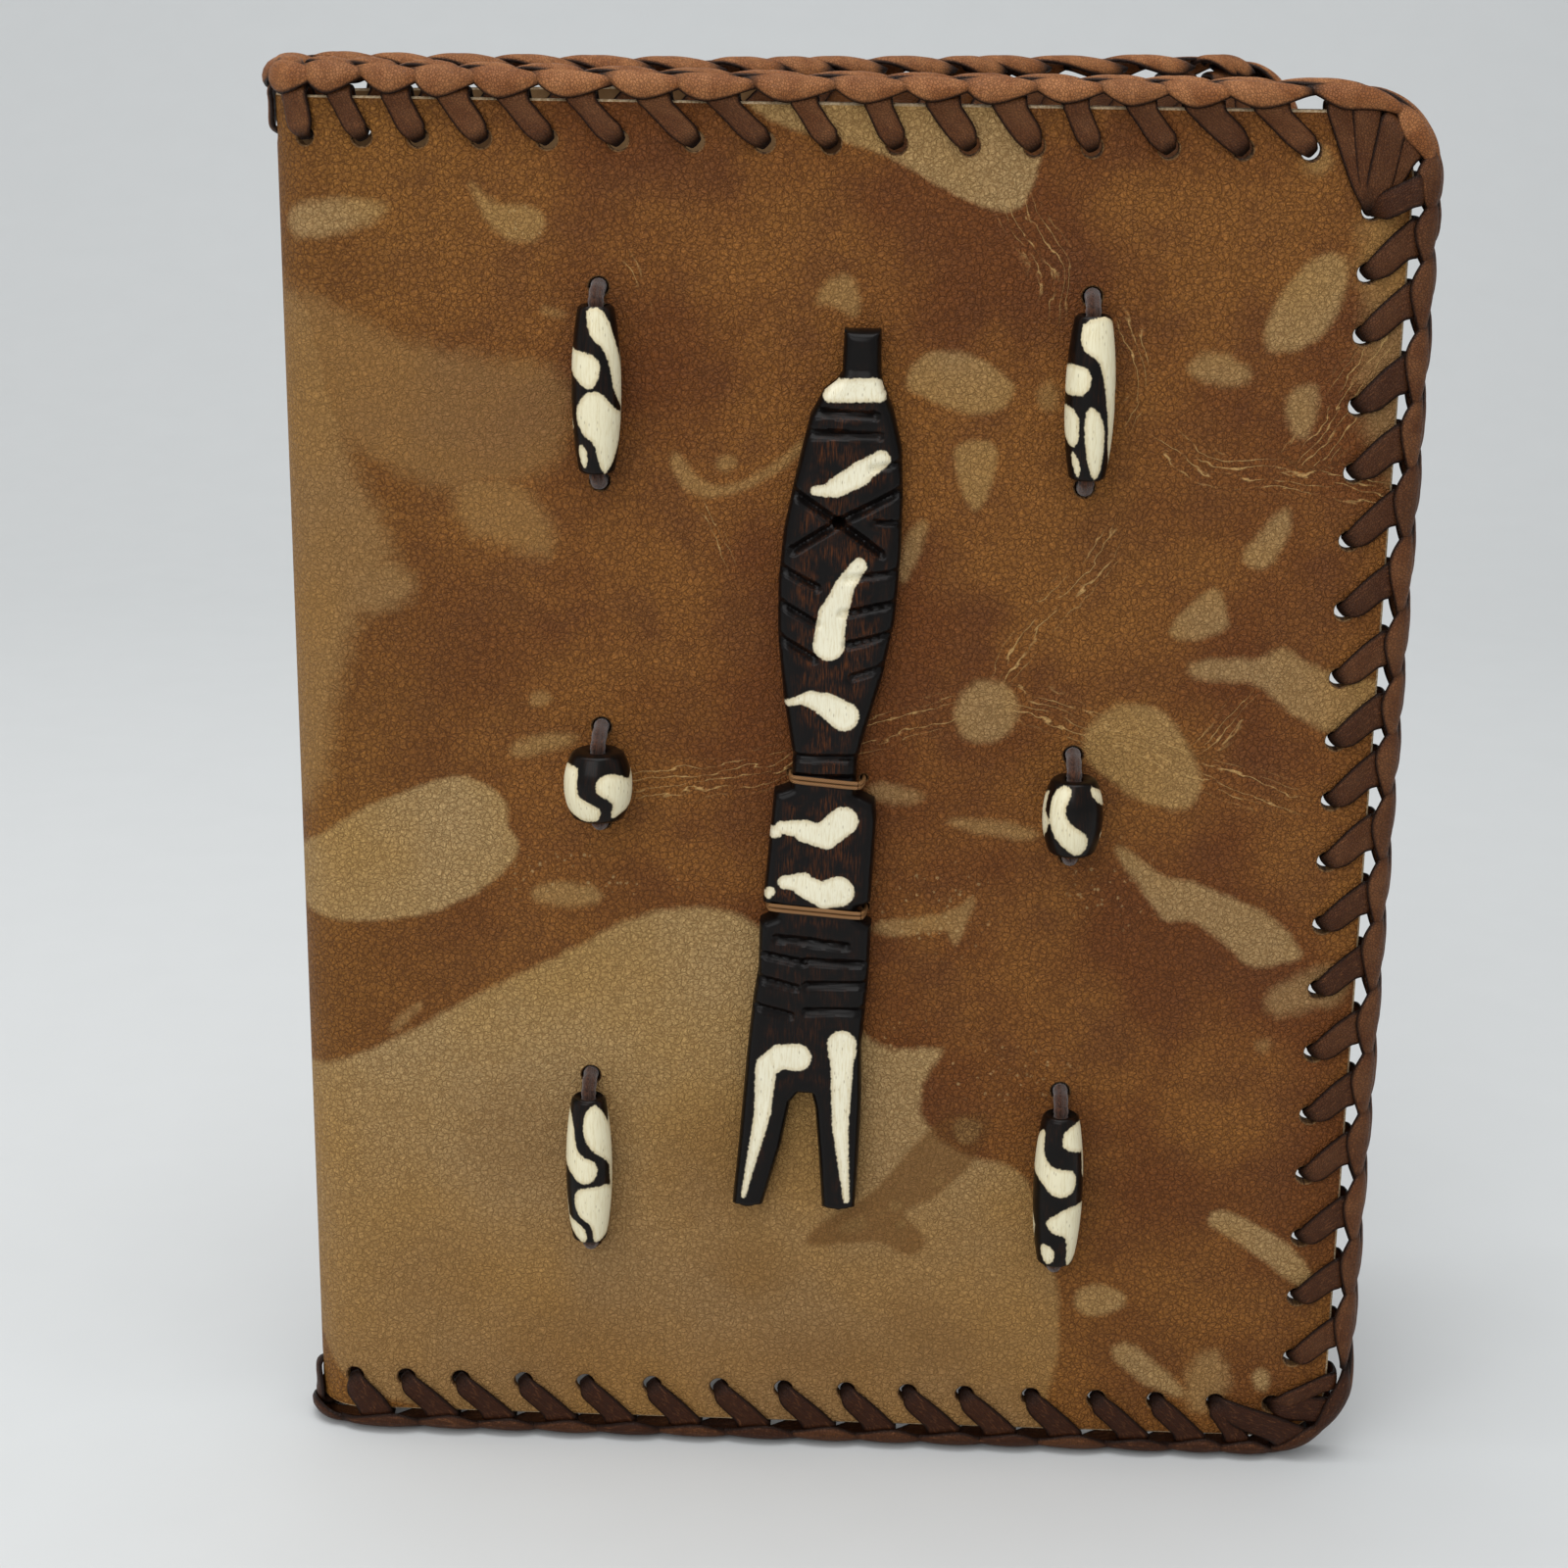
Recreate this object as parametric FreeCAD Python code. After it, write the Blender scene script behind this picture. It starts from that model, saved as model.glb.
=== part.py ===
import FreeCAD, Part

import math
import os

# Hand-laced leather cover for a notebook, standing ajar on its lower edge.
# +Z is up, the front cover faces -Y and the spine is at -X. Millimetres.
# Working coordinates: x from the spine's outermost line, y from the front cover's outer face,
# z from the table. The finished part is moved so that its origin is the centre of its base.

V = FreeCAD.Vector
UP = V(0, 0, 1)

# ---- driving dimensions -------------------------------------------------------------------
OPEN_ANGLE = 20.0        # angle between the two covers as it stands
SPINE_R = 8.0            # outer radius of the rounded spine
COVER_T = 1.6            # outer leather
POCKET_T = 1.2           # pocket leather
ROW_X = 160.0            # fore-edge row of lacing holes, from the spine's outermost line
ROW_HEIGHT = 200.4       # between the lower and the upper row of holes
HOLE_EDGE = 5.7          # hole centre to cut edge
BRAID_RISE = 3.5         # how far the edge braid stands beyond the cut edge
BRAID_WIDTH = 6.4        # across the edge, over both faces
BRAID_SHOULDER = 1.5     # radius of its two outer corners
CORNER_R = 10.0          # rounded fore-edge corners of the leather
HOLE_R = 1.5
LACE_WIDTH = 4.6
LACE_T = 0.9
STRAP_START = 0.9        # a strap starts this far on the inner side of its hole's centre
PEG_R = 1.1              # the lace's turn through the hole
LACE_LEAN = 4.0          # how far a strap slants along the edge on its way from its hole
SKIN_GAP = 0.1           # between a lace and the leather under it
HOLLOW_GAP = 0.5         # the same for a flat strap inside the spine's curve

# the hand-punched rows of holes: x along the top and the bottom, z up the fore edge
TOP_ROW = [150.8, 141.1, 130.5, 119.5, 111.2, 101.9, 91.4, 81.9,
           72.3, 62.1, 51.1, 40.8, 31.2, 22.0, 13.8, 5.2]
BOTTOM_ROW = [157.1, 148.0, 138.3, 128.6, 117.9, 107.1, 97.8, 87.7,
              77.4, 66.8, 55.8, 44.8, 34.6, 24.2, 15.2, 6.6]
FORE_ROW = [17.7, 28.6, 39.1, 50.0, 60.3, 70.9, 81.5, 92.2, 102.5, 112.3,
            121.8, 131.7, 142.1, 152.8, 163.0, 172.9, 183.3, 192.3, 201.4]

POCKET_X = 80.0          # the pocket's open edge, towards the spine
POCKET_BORDER = 13.0     # laced border where the pocket lies flat on the cover
POCKET_SPACE = 1.7       # room for the notebook's board
POCKET_GAP = 0.1
THROUGH = 1.0            # how far a cutter runs past what it cuts
TOUCH = 0.01             # two places closer than this are the same

FOLD_FROM_TANGENT = 40.0  # each fold line's place on the spine's curve
FOLD_GAP = 0.25           # leather's end to the fold line
BRAID_FOLD_ANGLE = 13.0   # braid's end to the fold line, as an angle of the spine's curve

BEAD_BORE_R = 1.30
THONG_R = 1.25
THONG_IN_HOLE_R = 1.1    # squeezed where it passes through the leather
KNOT_R = 2.2
KNOT_T = 1.4
BEAD_SKIN_GAP = 0.35
BEAD_END_TAPER = 0.72    # end radius over middle radius
THONG_HOLE_ABOVE = 2.1   # bead's end to its thong's hole
# name, x, centre z, radius, length
BEADS = [
    ("upper_left", 48.2, 174.1, 3.65, 24.6),
    ("upper_right", 120.4, 174.2, 3.65, 24.0),
    ("middle_left", 48.2, 114.0, 5.2, 10.6),
    ("middle_right", 120.4, 110.6, 4.6, 11.8),
    ("lower_left", 46.2, 49.8, 3.65, 24.4),
    ("lower_right", 120.6, 48.6, 3.9, 25.2),
]

FIGURE_FOOT = (78.6, 45.4)   # middle of the feet: x and z on the front cover
FIGURE_LEAN = 3.6            # degrees, top towards the fore edge
FIGURE_T = 4.2
FIGURE_EDGE = 0.5            # chamfer along the longer edges of the face
# height above the feet and half width, from the feet up to the tab
FIGURE_SIDE = [
    (0.0, 9.4), (10.0, 9.3), (28.0, 8.8), (47.6, 8.2), (48.2, 6.9), (49.0, 6.9), (49.6, 7.7),
    (68.2, 7.4), (69.0, 4.8), (70.4, 4.9), (78.0, 6.6), (89.0, 8.0), (99.0, 8.7), (107.0, 8.2),
    (115.0, 7.0), (124.0, 5.6), (128.4, 4.7), (131.0, 3.1), (131.4, 2.5), (138.4, 2.5),
]
CROTCH = 19.2                # height of the split between the legs
SPLIT_HALF = 3.7             # half width of the split at the feet
THREAD_R = 0.35
THREAD_HOLE_R = 0.6
THREAD_GAP = 0.05            # thread to what it lies on
# height above the feet and half span of each tie
TIES = [("lower", 48.6, 7.6), ("upper", 69.4, 5.6)]

# ---- derived sizes ------------------------------------------------------------------------
Z_LOW = BRAID_RISE + HOLE_EDGE
Z_HIGH = Z_LOW + ROW_HEIGHT
EDGE_X = ROW_X + HOLE_EDGE
EDGE_LOW = BRAID_RISE
EDGE_HIGH = Z_HIGH + HOLE_EDGE
CENTRE = V(SPINE_R, SPINE_R, 0)          # axis of the spine's curve
SWEEP = 180.0 - OPEN_ANGLE               # angle that the spine's curve turns through
FRONT_TANGENT = -90.0                    # where the curve meets the front cover
STACK_MID = (COVER_T + POCKET_GAP + POCKET_T) / 2.0
FIGURE_BACK = -0.15                      # figure's back face, just off the leather


def polar(radius, angle, z=0.0):
    """A point at that radius and angle from the spine's curve axis."""
    a = math.radians(angle)
    return CENTRE + V(radius * math.cos(a), radius * math.sin(a), z)


def ring_sector(r_in, r_out, start, end, z0, z1):
    """A piece of tube wall round the spine's curve axis, between two angles."""
    ring = Part.makeCylinder(r_out, z1 - z0, CENTRE + V(0, 0, z0), UP, end - start)
    ring = ring.cut(Part.makeCylinder(r_in, z1 - z0, CENTRE + V(0, 0, z0), UP))
    ring.rotate(CENTRE, UP, start)
    return ring


def plate(x0, x1, y0, y1, z0, z1):
    return Part.makeBox(x1 - x0, y1 - y0, z1 - z0, V(x0, y0, z0))


def round_corners(shape, x_edge, radius):
    """Rounds the two corners at the fore edge."""
    def at_corner(edge):
        box = edge.BoundBox
        runs_through = max(box.XLength, box.ZLength) < TOUCH
        return runs_through and abs(box.XMin - x_edge) < TOUCH
    return shape.makeFillet(radius, [e for e in shape.Edges if at_corner(e)])


def drill(x, z, radius):
    """A cutter for a round hole through the flat of the front cover."""
    return Part.makeCylinder(radius, COVER_T + 2 * THROUGH, V(x, -THROUGH, z), V(0, 1, 0))


def bar(a, b, radius):
    """A round bar from a to b that runs one radius past both."""
    along = (b - a).normalize()
    return Part.makeCylinder(radius, (b - a).Length + 2 * radius, a - along * radius, along)


def on_skin(x):
    """Plan point and outward direction on the front cover or its curved end, for a row place x.

    Past the straight part, the distance carries on along the curve towards the spine.
    """
    if x >= SPINE_R:
        return V(x, 0, 0), V(0, -1, 0)
    angle = FRONT_TANGENT - math.degrees((SPINE_R - x) / SPINE_R)
    point = polar(SPINE_R, angle)
    return point, (point - CENTRE).normalize()


# ---- lacing holes: place along the row, height, and the edge that the lace goes over ------
def top_holes():
    return [(x, Z_HIGH, "top") for x in TOP_ROW]


def bottom_holes():
    return [(x, Z_LOW, "bottom") for x in BOTTOM_ROW]


def fore_holes():
    return [(ROW_X, z, "fore") for z in FORE_ROW]


def hole_cutters():
    """Cylinders through the leather at every lacing hole of one cover."""
    cutters = []
    for x, z, _edge in top_holes() + bottom_holes() + fore_holes():
        point, outward = on_skin(x)
        start = point + outward * THROUGH + V(0, 0, z)
        depth = COVER_T + POCKET_GAP + POCKET_T + 2 * THROUGH
        cutters.append(Part.makeCylinder(HOLE_R, depth, start, outward * -1))
    return cutters


# ---- leather ------------------------------------------------------------------------------
def cover():
    """The front cover's leather: a flat panel and its share of the spine's curve."""
    panel = plate(SPINE_R, EDGE_X, 0, COVER_T, EDGE_LOW, EDGE_HIGH)
    panel = round_corners(panel, EDGE_X, CORNER_R)
    fold = FRONT_TANGENT - FOLD_FROM_TANGENT + math.degrees(FOLD_GAP / SPINE_R)
    curve = ring_sector(SPINE_R - COVER_T, SPINE_R, fold, FRONT_TANGENT, EDGE_LOW, EDGE_HIGH)
    return panel.fuse(curve).removeSplitter().cut(hole_cutters())


def front_cover():
    """The cover with the holes for the thongs and the figure's ties."""
    cutters = []
    for _name, x, z, _radius, length in BEADS:
        reach = length / 2.0 + THONG_HOLE_ABOVE
        cutters += [drill(x, z + side * reach, HOLE_R) for side in (-1, 1)]
    for _name, height, half in TIES:
        for side in (-1, 1):
            x, z = figure_place(side * half, height)
            cutters.append(drill(x, z, THREAD_HOLE_R))
    return cover().cut(cutters)


def pocket():
    """The inner flap: a flat laced border, and a raised middle that the notebook's board fills."""
    near = COVER_T + POCKET_GAP
    far = near + POCKET_SPACE
    flange = plate(POCKET_X, EDGE_X, near, near + POCKET_T, EDGE_LOW, EDGE_HIGH)
    flange = round_corners(flange, EDGE_X, CORNER_R)
    low, high = EDGE_LOW + POCKET_BORDER, EDGE_HIGH - POCKET_BORDER
    raised = plate(POCKET_X, EDGE_X - POCKET_BORDER, near, far + POCKET_T, low, high)
    space = plate(POCKET_X - THROUGH, EDGE_X - POCKET_BORDER - POCKET_T, near - THROUGH, far,
                  low + POCKET_T, high - POCKET_T)
    return flange.fuse(raised).cut(space).removeSplitter().cut(hole_cutters())


def spine_leather():
    """The middle of the spine's curve, with one lacing hole at its head and one at its foot."""
    gap = math.degrees(FOLD_GAP / SPINE_R)
    start = FRONT_TANGENT - SWEEP + FOLD_FROM_TANGENT + gap
    end = FRONT_TANGENT - FOLD_FROM_TANGENT - gap
    skin = ring_sector(SPINE_R - COVER_T, SPINE_R, start, end, EDGE_LOW, EDGE_HIGH)
    middle = FRONT_TANGENT - SWEEP / 2.0
    outward = (polar(SPINE_R, middle) - CENTRE).normalize()
    holes = []
    for z in (Z_LOW, Z_HIGH):
        start = polar(SPINE_R + THROUGH, middle, z)
        holes.append(Part.makeCylinder(HOLE_R, COVER_T + 2 * THROUGH, start, outward * -1))
    return skin.cut(holes)


# ---- edge braid ---------------------------------------------------------------------------
def braid_profile(origin, across, rise):
    """Flat-topped rounded section of the braid, standing on the cut edge.

    It is BRAID_WIDTH wide along across, centred on origin, and stands up along rise.
    """
    half = BRAID_WIDTH / 2.0
    shoulder = BRAID_SHOULDER
    base = SKIN_GAP
    knee = 1 - math.sqrt(0.5)

    def at(a, r):
        return origin + across * a + rise * r
    low_a, low_b = at(-half, base), at(half, base)
    side_b, top_b = at(half, BRAID_RISE - shoulder), at(half - shoulder, BRAID_RISE)
    side_a, top_a = at(-half, BRAID_RISE - shoulder), at(-half + shoulder, BRAID_RISE)
    bend_b = at(half - shoulder * knee, BRAID_RISE - shoulder * knee)
    bend_a = at(-half + shoulder * knee, BRAID_RISE - shoulder * knee)
    edges = [
        Part.LineSegment(low_a, low_b).toShape(),
        Part.LineSegment(low_b, side_b).toShape(),
        Part.Arc(side_b, bend_b, top_b).toShape(),
        Part.LineSegment(top_b, top_a).toShape(),
        Part.Arc(top_a, bend_a, side_a).toShape(),
        Part.LineSegment(side_a, low_a).toShape(),
    ]
    return Part.Face(Part.Wire(edges))


def braid_turn(start, end, edge_z, rise):
    """The braid over a stretch of the spine's curve, between two angles."""
    radius = SPINE_R - STACK_MID
    a = math.radians(start)
    outward = V(math.cos(a), math.sin(a), 0)
    face = braid_profile(CENTRE + outward * radius + V(0, 0, edge_z), outward, rise)
    return face.revolve(CENTRE, UP, end - start)


def level_braid(edge_z, rise):
    """The braid along the top or the bottom of one cover, up to the rounded corner."""
    face = braid_profile(V(SPINE_R, STACK_MID, edge_z), V(0, 1, 0), rise)
    straight = face.extrude(V(EDGE_X - CORNER_R - SPINE_R, 0, 0))
    start = FRONT_TANGENT - FOLD_FROM_TANGENT + BRAID_FOLD_ANGLE
    return straight.fuse(braid_turn(start, FRONT_TANGENT, edge_z, rise)).removeSplitter()


def fore_braid():
    """The braid down the fore edge and round both corners."""
    low, high = EDGE_LOW + CORNER_R, EDGE_HIGH - CORNER_R
    turn_x = EDGE_X - CORNER_R
    face = braid_profile(V(EDGE_X, STACK_MID, low), V(0, 1, 0), V(1, 0, 0))
    straight = face.extrude(V(0, 0, high - low))
    upper_face = braid_profile(V(turn_x, STACK_MID, EDGE_HIGH), V(0, 1, 0), UP)
    upper = upper_face.revolve(V(turn_x, 0, high), V(0, 1, 0), 90)
    lower = face.revolve(V(turn_x, 0, low), V(0, 1, 0), 90)
    return straight.fuse([upper, lower]).removeSplitter()


def spine_braid(edge_z, rise):
    start = FRONT_TANGENT - SWEEP + FOLD_FROM_TANGENT + BRAID_FOLD_ANGLE
    end = FRONT_TANGENT - FOLD_FROM_TANGENT - BRAID_FOLD_ANGLE
    return braid_turn(start, end, edge_z, rise)


# ---- lacing stitches ----------------------------------------------------------------------
def stitch(hole, outward, toward, depth, lean, inner_gap=SKIN_GAP):
    """One turn of the lace: a strap on each face from the hole to the cut edge, joined by the hole.

    hole is on the outer face, outward its normal, toward the direction to the cut edge,
    depth the thickness of the leather that the hole goes through, lean the strap's slant,
    and inner_gap the space between the leather and the strap on its inner face.
    """
    along = outward.cross(toward)
    back = STRAP_START
    length = HOLE_EDGE + back - SKIN_GAP

    def strap(offset):
        corner = hole + outward * offset - toward * back - along * (LACE_WIDTH / 2.0)
        corners = [
            corner,
            corner + along * LACE_WIDTH,
            corner + along * (LACE_WIDTH + lean) + toward * length,
            corner + along * lean + toward * length,
        ]
        face = Part.Face(Part.makePolygon(corners + corners[:1]))
        return face.extrude(outward * LACE_T)
    start = hole + outward * SKIN_GAP
    peg = Part.makeCylinder(PEG_R, depth + SKIN_GAP + inner_gap, start, outward * -1)
    outer = strap(SKIN_GAP)
    inner = strap(-(depth + inner_gap + LACE_T))
    return outer.fuse([peg, inner]).removeSplitter()


def way_to_edge(x, z, edge):
    """Direction from a hole to the cut edge, and the strap's slant along the edge."""
    corner_x = EDGE_X - CORNER_R
    for corner_z, side in ((EDGE_LOW + CORNER_R, -1), (EDGE_HIGH - CORNER_R, 1)):
        if x > corner_x and (z - corner_z) * side > 0:
            return V(x - corner_x, 0, z - corner_z).normalize(), 0.0
    toward = {"top": UP, "bottom": UP * -1, "fore": V(1, 0, 0)}[edge]
    on_curve = x < SPINE_R + LACE_WIDTH
    return toward, 0.0 if on_curve else LACE_LEAN


def stitches(holes):
    """A group of stitches, one through each hole, trimmed at the leather's outline."""
    outline = plate(-SPINE_R, EDGE_X, -SPINE_R, SPINE_R, EDGE_LOW, EDGE_HIGH)
    outline = round_corners(outline, EDGE_X, CORNER_R)
    solids = []
    for x, z, edge in holes:
        point, outward = on_skin(x)
        over_pocket = x + LACE_WIDTH / 2.0 + LACE_LEAN > POCKET_X
        depth = COVER_T + POCKET_GAP + POCKET_T if over_pocket else COVER_T
        toward, lean = way_to_edge(x, z, edge)
        inner_gap = HOLLOW_GAP if x < SPINE_R else SKIN_GAP
        turn = stitch(point + V(0, 0, z), outward, toward, depth, lean, inner_gap)
        solids += turn.common(outline).Solids
    return Part.makeCompound(solids)


def spine_stitches():
    middle = FRONT_TANGENT - SWEEP / 2.0
    outward = (polar(SPINE_R, middle) - CENTRE).normalize()
    pair = [
        stitch(polar(SPINE_R, middle, Z_HIGH), outward, UP, COVER_T, 0.0, HOLLOW_GAP),
        stitch(polar(SPINE_R, middle, Z_LOW), outward, UP * -1, COVER_T, 0.0, HOLLOW_GAP),
    ]
    return Part.makeCompound(pair)


# ---- beads and thongs ---------------------------------------------------------------------
def bead_axis_y(radius):
    return -(radius + BEAD_SKIN_GAP)


def bead(x, z, radius, length):
    """A barrel bead with tapered ends and a round bore along its length."""
    half = length / 2.0
    end_r = radius * BEAD_END_TAPER
    side = Part.Arc(V(end_r, 0, -half), V(radius, 0, 0), V(end_r, 0, half)).toShape()
    edges = [
        Part.LineSegment(V(BEAD_BORE_R, 0, -half), V(end_r, 0, -half)).toShape(),
        side,
        Part.LineSegment(V(end_r, 0, half), V(BEAD_BORE_R, 0, half)).toShape(),
        Part.LineSegment(V(BEAD_BORE_R, 0, half), V(BEAD_BORE_R, 0, -half)).toShape(),
    ]
    solid = Part.Face(Part.Wire(edges)).revolve(V(0, 0, 0), UP, 360)
    solid.translate(V(x, bead_axis_y(radius), z))
    return solid


def thong(x, z, radius, length):
    """A round thong through the bead, in through both holes and flat knots on the inside."""
    reach = length / 2.0 + THONG_HOLE_ABOVE
    axis_y = bead_axis_y(radius)
    inside = COVER_T + KNOT_T / 2.0
    parts = [bar(V(x, axis_y, z - reach), V(x, axis_y, z + reach), THONG_R)]
    for side in (-1, 1):
        knee = V(x, axis_y, z + side * reach)
        parts.append(Part.makeCylinder(THONG_IN_HOLE_R, inside - axis_y, knee, V(0, 1, 0)))
        knot_at = V(x, COVER_T + SKIN_GAP, z + side * reach)
        knot = Part.makeCylinder(KNOT_R, KNOT_T, knot_at, V(0, 1, 0))
        parts.append(knot)
    return parts[0].fuse(parts[1:]).removeSplitter()


# ---- carved figure and its ties -----------------------------------------------------------
def figure_place(across, height):
    """Place on the front cover of a point of the figure, as x and z."""
    a = math.radians(FIGURE_LEAN)
    x = FIGURE_FOOT[0] + across * math.cos(a) + height * math.sin(a)
    z = FIGURE_FOOT[1] - across * math.sin(a) + height * math.cos(a)
    return x, z


def figure_points():
    """The figure's outline, feet, split, sides and tab."""
    right = [(half, height) for height, half in FIGURE_SIDE]
    left = [(-half, height) for height, half in reversed(FIGURE_SIDE)]
    split = [(-SPLIT_HALF, 0.0), (0.0, CROTCH), (SPLIT_HALF, 0.0)]
    return right + left + split


def carved_figure():
    """A flat carved piece with sloping edges, standing on the front cover's face."""
    points = []
    for across, height in figure_points():
        x, z = figure_place(across, height)
        points.append(V(x, FIGURE_BACK, z))
    face = Part.Face(Part.makePolygon(points + points[:1]))
    slab = face.extrude(V(0, -FIGURE_T, 0))
    front_y = FIGURE_BACK - FIGURE_T

    def is_long_face_edge(edge):
        box = edge.BoundBox
        on_face = max(abs(box.YMin - front_y), abs(box.YMax - front_y)) < TOUCH
        return on_face and edge.Length > FIGURE_T
    return slab.makeChamfer(FIGURE_EDGE, [e for e in slab.Edges if is_long_face_edge(e)])


def tie(height, half):
    """A thread over the figure at a notch, through the cover on both sides and across inside."""
    front_y = FIGURE_BACK - FIGURE_T - THREAD_R - THREAD_GAP
    inside_y = COVER_T + THREAD_R + THREAD_GAP
    ends = [figure_place(-half, height), figure_place(half, height)]
    corners = [
        V(ends[0][0], front_y, ends[0][1]),
        V(ends[1][0], front_y, ends[1][1]),
        V(ends[1][0], inside_y, ends[1][1]),
        V(ends[0][0], inside_y, ends[0][1]),
    ]
    sides = [bar(corners[k], corners[(k + 1) % 4], THREAD_R) for k in range(4)]
    return sides[0].fuse(sides[1:]).removeSplitter()


# ---- the whole cover ----------------------------------------------------------------------
def mirrored(shape):
    """The same piece of the other cover, across the middle plane of the standing V."""
    middle = math.radians(OPEN_ANGLE / 2.0 + 90.0)
    return shape.mirror(CENTRE, V(math.cos(middle), math.sin(middle), 0))


def build():
    """Every node by name, in working coordinates."""
    top = level_braid(EDGE_HIGH, UP)
    bottom = level_braid(EDGE_LOW, UP * -1)
    fore = fore_braid()
    inner = pocket()
    laces = {
        "top_stitches": stitches(top_holes()),
        "bottom_stitches": stitches(bottom_holes()),
        "fore_edge_stitches": stitches(fore_holes()),
    }
    nodes = {
        "front_cover": front_cover(),
        "back_cover": mirrored(cover()),
        "spine_leather": spine_leather(),
        "spine_top_braid": spine_braid(EDGE_HIGH, UP),
        "spine_bottom_braid": spine_braid(EDGE_LOW, UP * -1),
        "spine_stitches": spine_stitches(),
        "carved_figure": carved_figure(),
    }
    shared = {"top_braid": top, "bottom_braid": bottom, "fore_edge_braid": fore, "pocket": inner}
    shared.update(laces)
    for name, shape in shared.items():
        nodes["front_" + name] = shape
        nodes["back_" + name] = mirrored(shape)
    for name, x, z, radius, length in BEADS:
        nodes[name + "_bead"] = bead(x, z, radius, length)
        nodes[name + "_thong"] = thong(x, z, radius, length)
    for name, height, half in TIES:
        nodes[name + "_figure_tie"] = tie(height, half)
    return nodes


def main():
    os.makedirs("parts", exist_ok=True)
    nodes = build()
    box = Part.makeCompound(list(nodes.values())).optimalBoundingBox(False)
    shift = V(-box.Center.x, -box.Center.y, -box.ZMin)
    print("shift", tuple(round(v, 4) for v in shift))
    print("size", round(box.XLength, 2), round(box.YLength, 2), round(box.ZLength, 2))
    front_fold = polar(SPINE_R, FRONT_TANGENT - FOLD_FROM_TANGENT) + shift
    back_fold = polar(SPINE_R, FRONT_TANGENT - SWEEP + FOLD_FROM_TANGENT) + shift
    print("front fold", tuple(round(v, 4) for v in front_fold))
    print("back fold", tuple(round(v, 4) for v in back_fold))
    for name, x, z, radius, _length in BEADS:
        print(name, tuple(round(v, 4) for v in V(x, bead_axis_y(radius), z) + shift))
    for name, shape in nodes.items():
        shape.translate(shift)
        shape.exportStep("parts/" + name + ".step")
        print(name, len(shape.Solids), shape.isValid(), round(shape.Volume / 1000.0, 3))


main()
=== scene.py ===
import math

import bmesh
import bpy
import numpy as np
from mathutils import Matrix, Vector
from mathutils.geometry import delaunay_2d_cdt


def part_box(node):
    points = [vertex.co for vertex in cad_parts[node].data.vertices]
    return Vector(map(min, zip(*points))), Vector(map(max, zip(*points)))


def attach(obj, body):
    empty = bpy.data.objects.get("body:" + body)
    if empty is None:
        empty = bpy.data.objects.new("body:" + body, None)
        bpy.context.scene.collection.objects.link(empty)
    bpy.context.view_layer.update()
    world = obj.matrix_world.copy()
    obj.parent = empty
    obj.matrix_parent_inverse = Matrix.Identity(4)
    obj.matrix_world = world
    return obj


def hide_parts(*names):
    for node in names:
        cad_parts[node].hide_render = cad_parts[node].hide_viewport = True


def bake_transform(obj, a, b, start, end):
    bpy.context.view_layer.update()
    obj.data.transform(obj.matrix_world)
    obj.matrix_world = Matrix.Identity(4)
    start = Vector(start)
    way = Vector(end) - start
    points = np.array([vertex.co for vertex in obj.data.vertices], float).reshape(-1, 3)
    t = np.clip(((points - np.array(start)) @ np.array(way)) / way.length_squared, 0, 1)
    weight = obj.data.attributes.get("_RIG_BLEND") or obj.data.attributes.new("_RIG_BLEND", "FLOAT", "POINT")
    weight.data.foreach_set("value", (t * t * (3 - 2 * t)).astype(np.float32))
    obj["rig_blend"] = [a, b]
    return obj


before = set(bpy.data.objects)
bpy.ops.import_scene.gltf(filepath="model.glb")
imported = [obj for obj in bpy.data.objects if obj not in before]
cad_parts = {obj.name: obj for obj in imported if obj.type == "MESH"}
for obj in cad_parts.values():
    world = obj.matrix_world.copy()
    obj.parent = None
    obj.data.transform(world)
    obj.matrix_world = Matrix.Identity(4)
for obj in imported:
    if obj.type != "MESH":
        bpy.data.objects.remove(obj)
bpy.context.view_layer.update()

# Looks of the hand-laced leather notebook cover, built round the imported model.
# Lengths are millimetres until a mesh is made. A place on the leather is q, z and n:
# q runs round the outside from the middle of the spine (front cover positive), z is the height,
# n the distance out from the leather's outer face.

MM = 0.001
rng = np.random.default_rng(7)

# ---- sizes from the frame -----------------------------------------------------------------
cover_low, cover_high = (np.array(c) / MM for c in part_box("front_cover"))
spine_low, _ = (np.array(c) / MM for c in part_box("spine_leather"))
pocket_low, _ = (np.array(c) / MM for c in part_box("front_pocket"))
SPINE_R = 8.0
SPINE_SWEEP = math.radians(160.0)
SPINE_MIDDLE = math.radians(-170.0)   # direction from the spine's axis to its middle
HALF_ARC = SPINE_R * SPINE_SWEEP / 2
COVER_T = 1.6
STACK_MID = -1.45                     # middle of cover and pocket together
CENTRE = np.array([spine_low[0] + SPINE_R, cover_low[1] + SPINE_R])
LOW, HIGH = cover_low[2], cover_high[2]
EDGE = cover_high[0] - CENTRE[0] + HALF_ARC      # q of the cut fore edge
CORNER_R = 10.0
POCKET_Q = pocket_low[0] - CENTRE[0] + HALF_ARC
ROW_INSET = 5.7                       # from the cut edge to the middle of the lacing holes
ROW_LOW, ROW_HIGH = LOW + ROW_INSET, HIGH - ROW_INSET
ROW_Q = EDGE - ROW_INSET
HOLE_R = 1.5
SEAM_Q = -2.2                         # where the two halves of the lacing and leather meet
X0 = CENTRE[0] - SPINE_R              # the spine's outermost line


def q_of(x):
    """q of a place x millimetres from the spine's outermost line."""
    return x - SPINE_R + HALF_ARC


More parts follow.
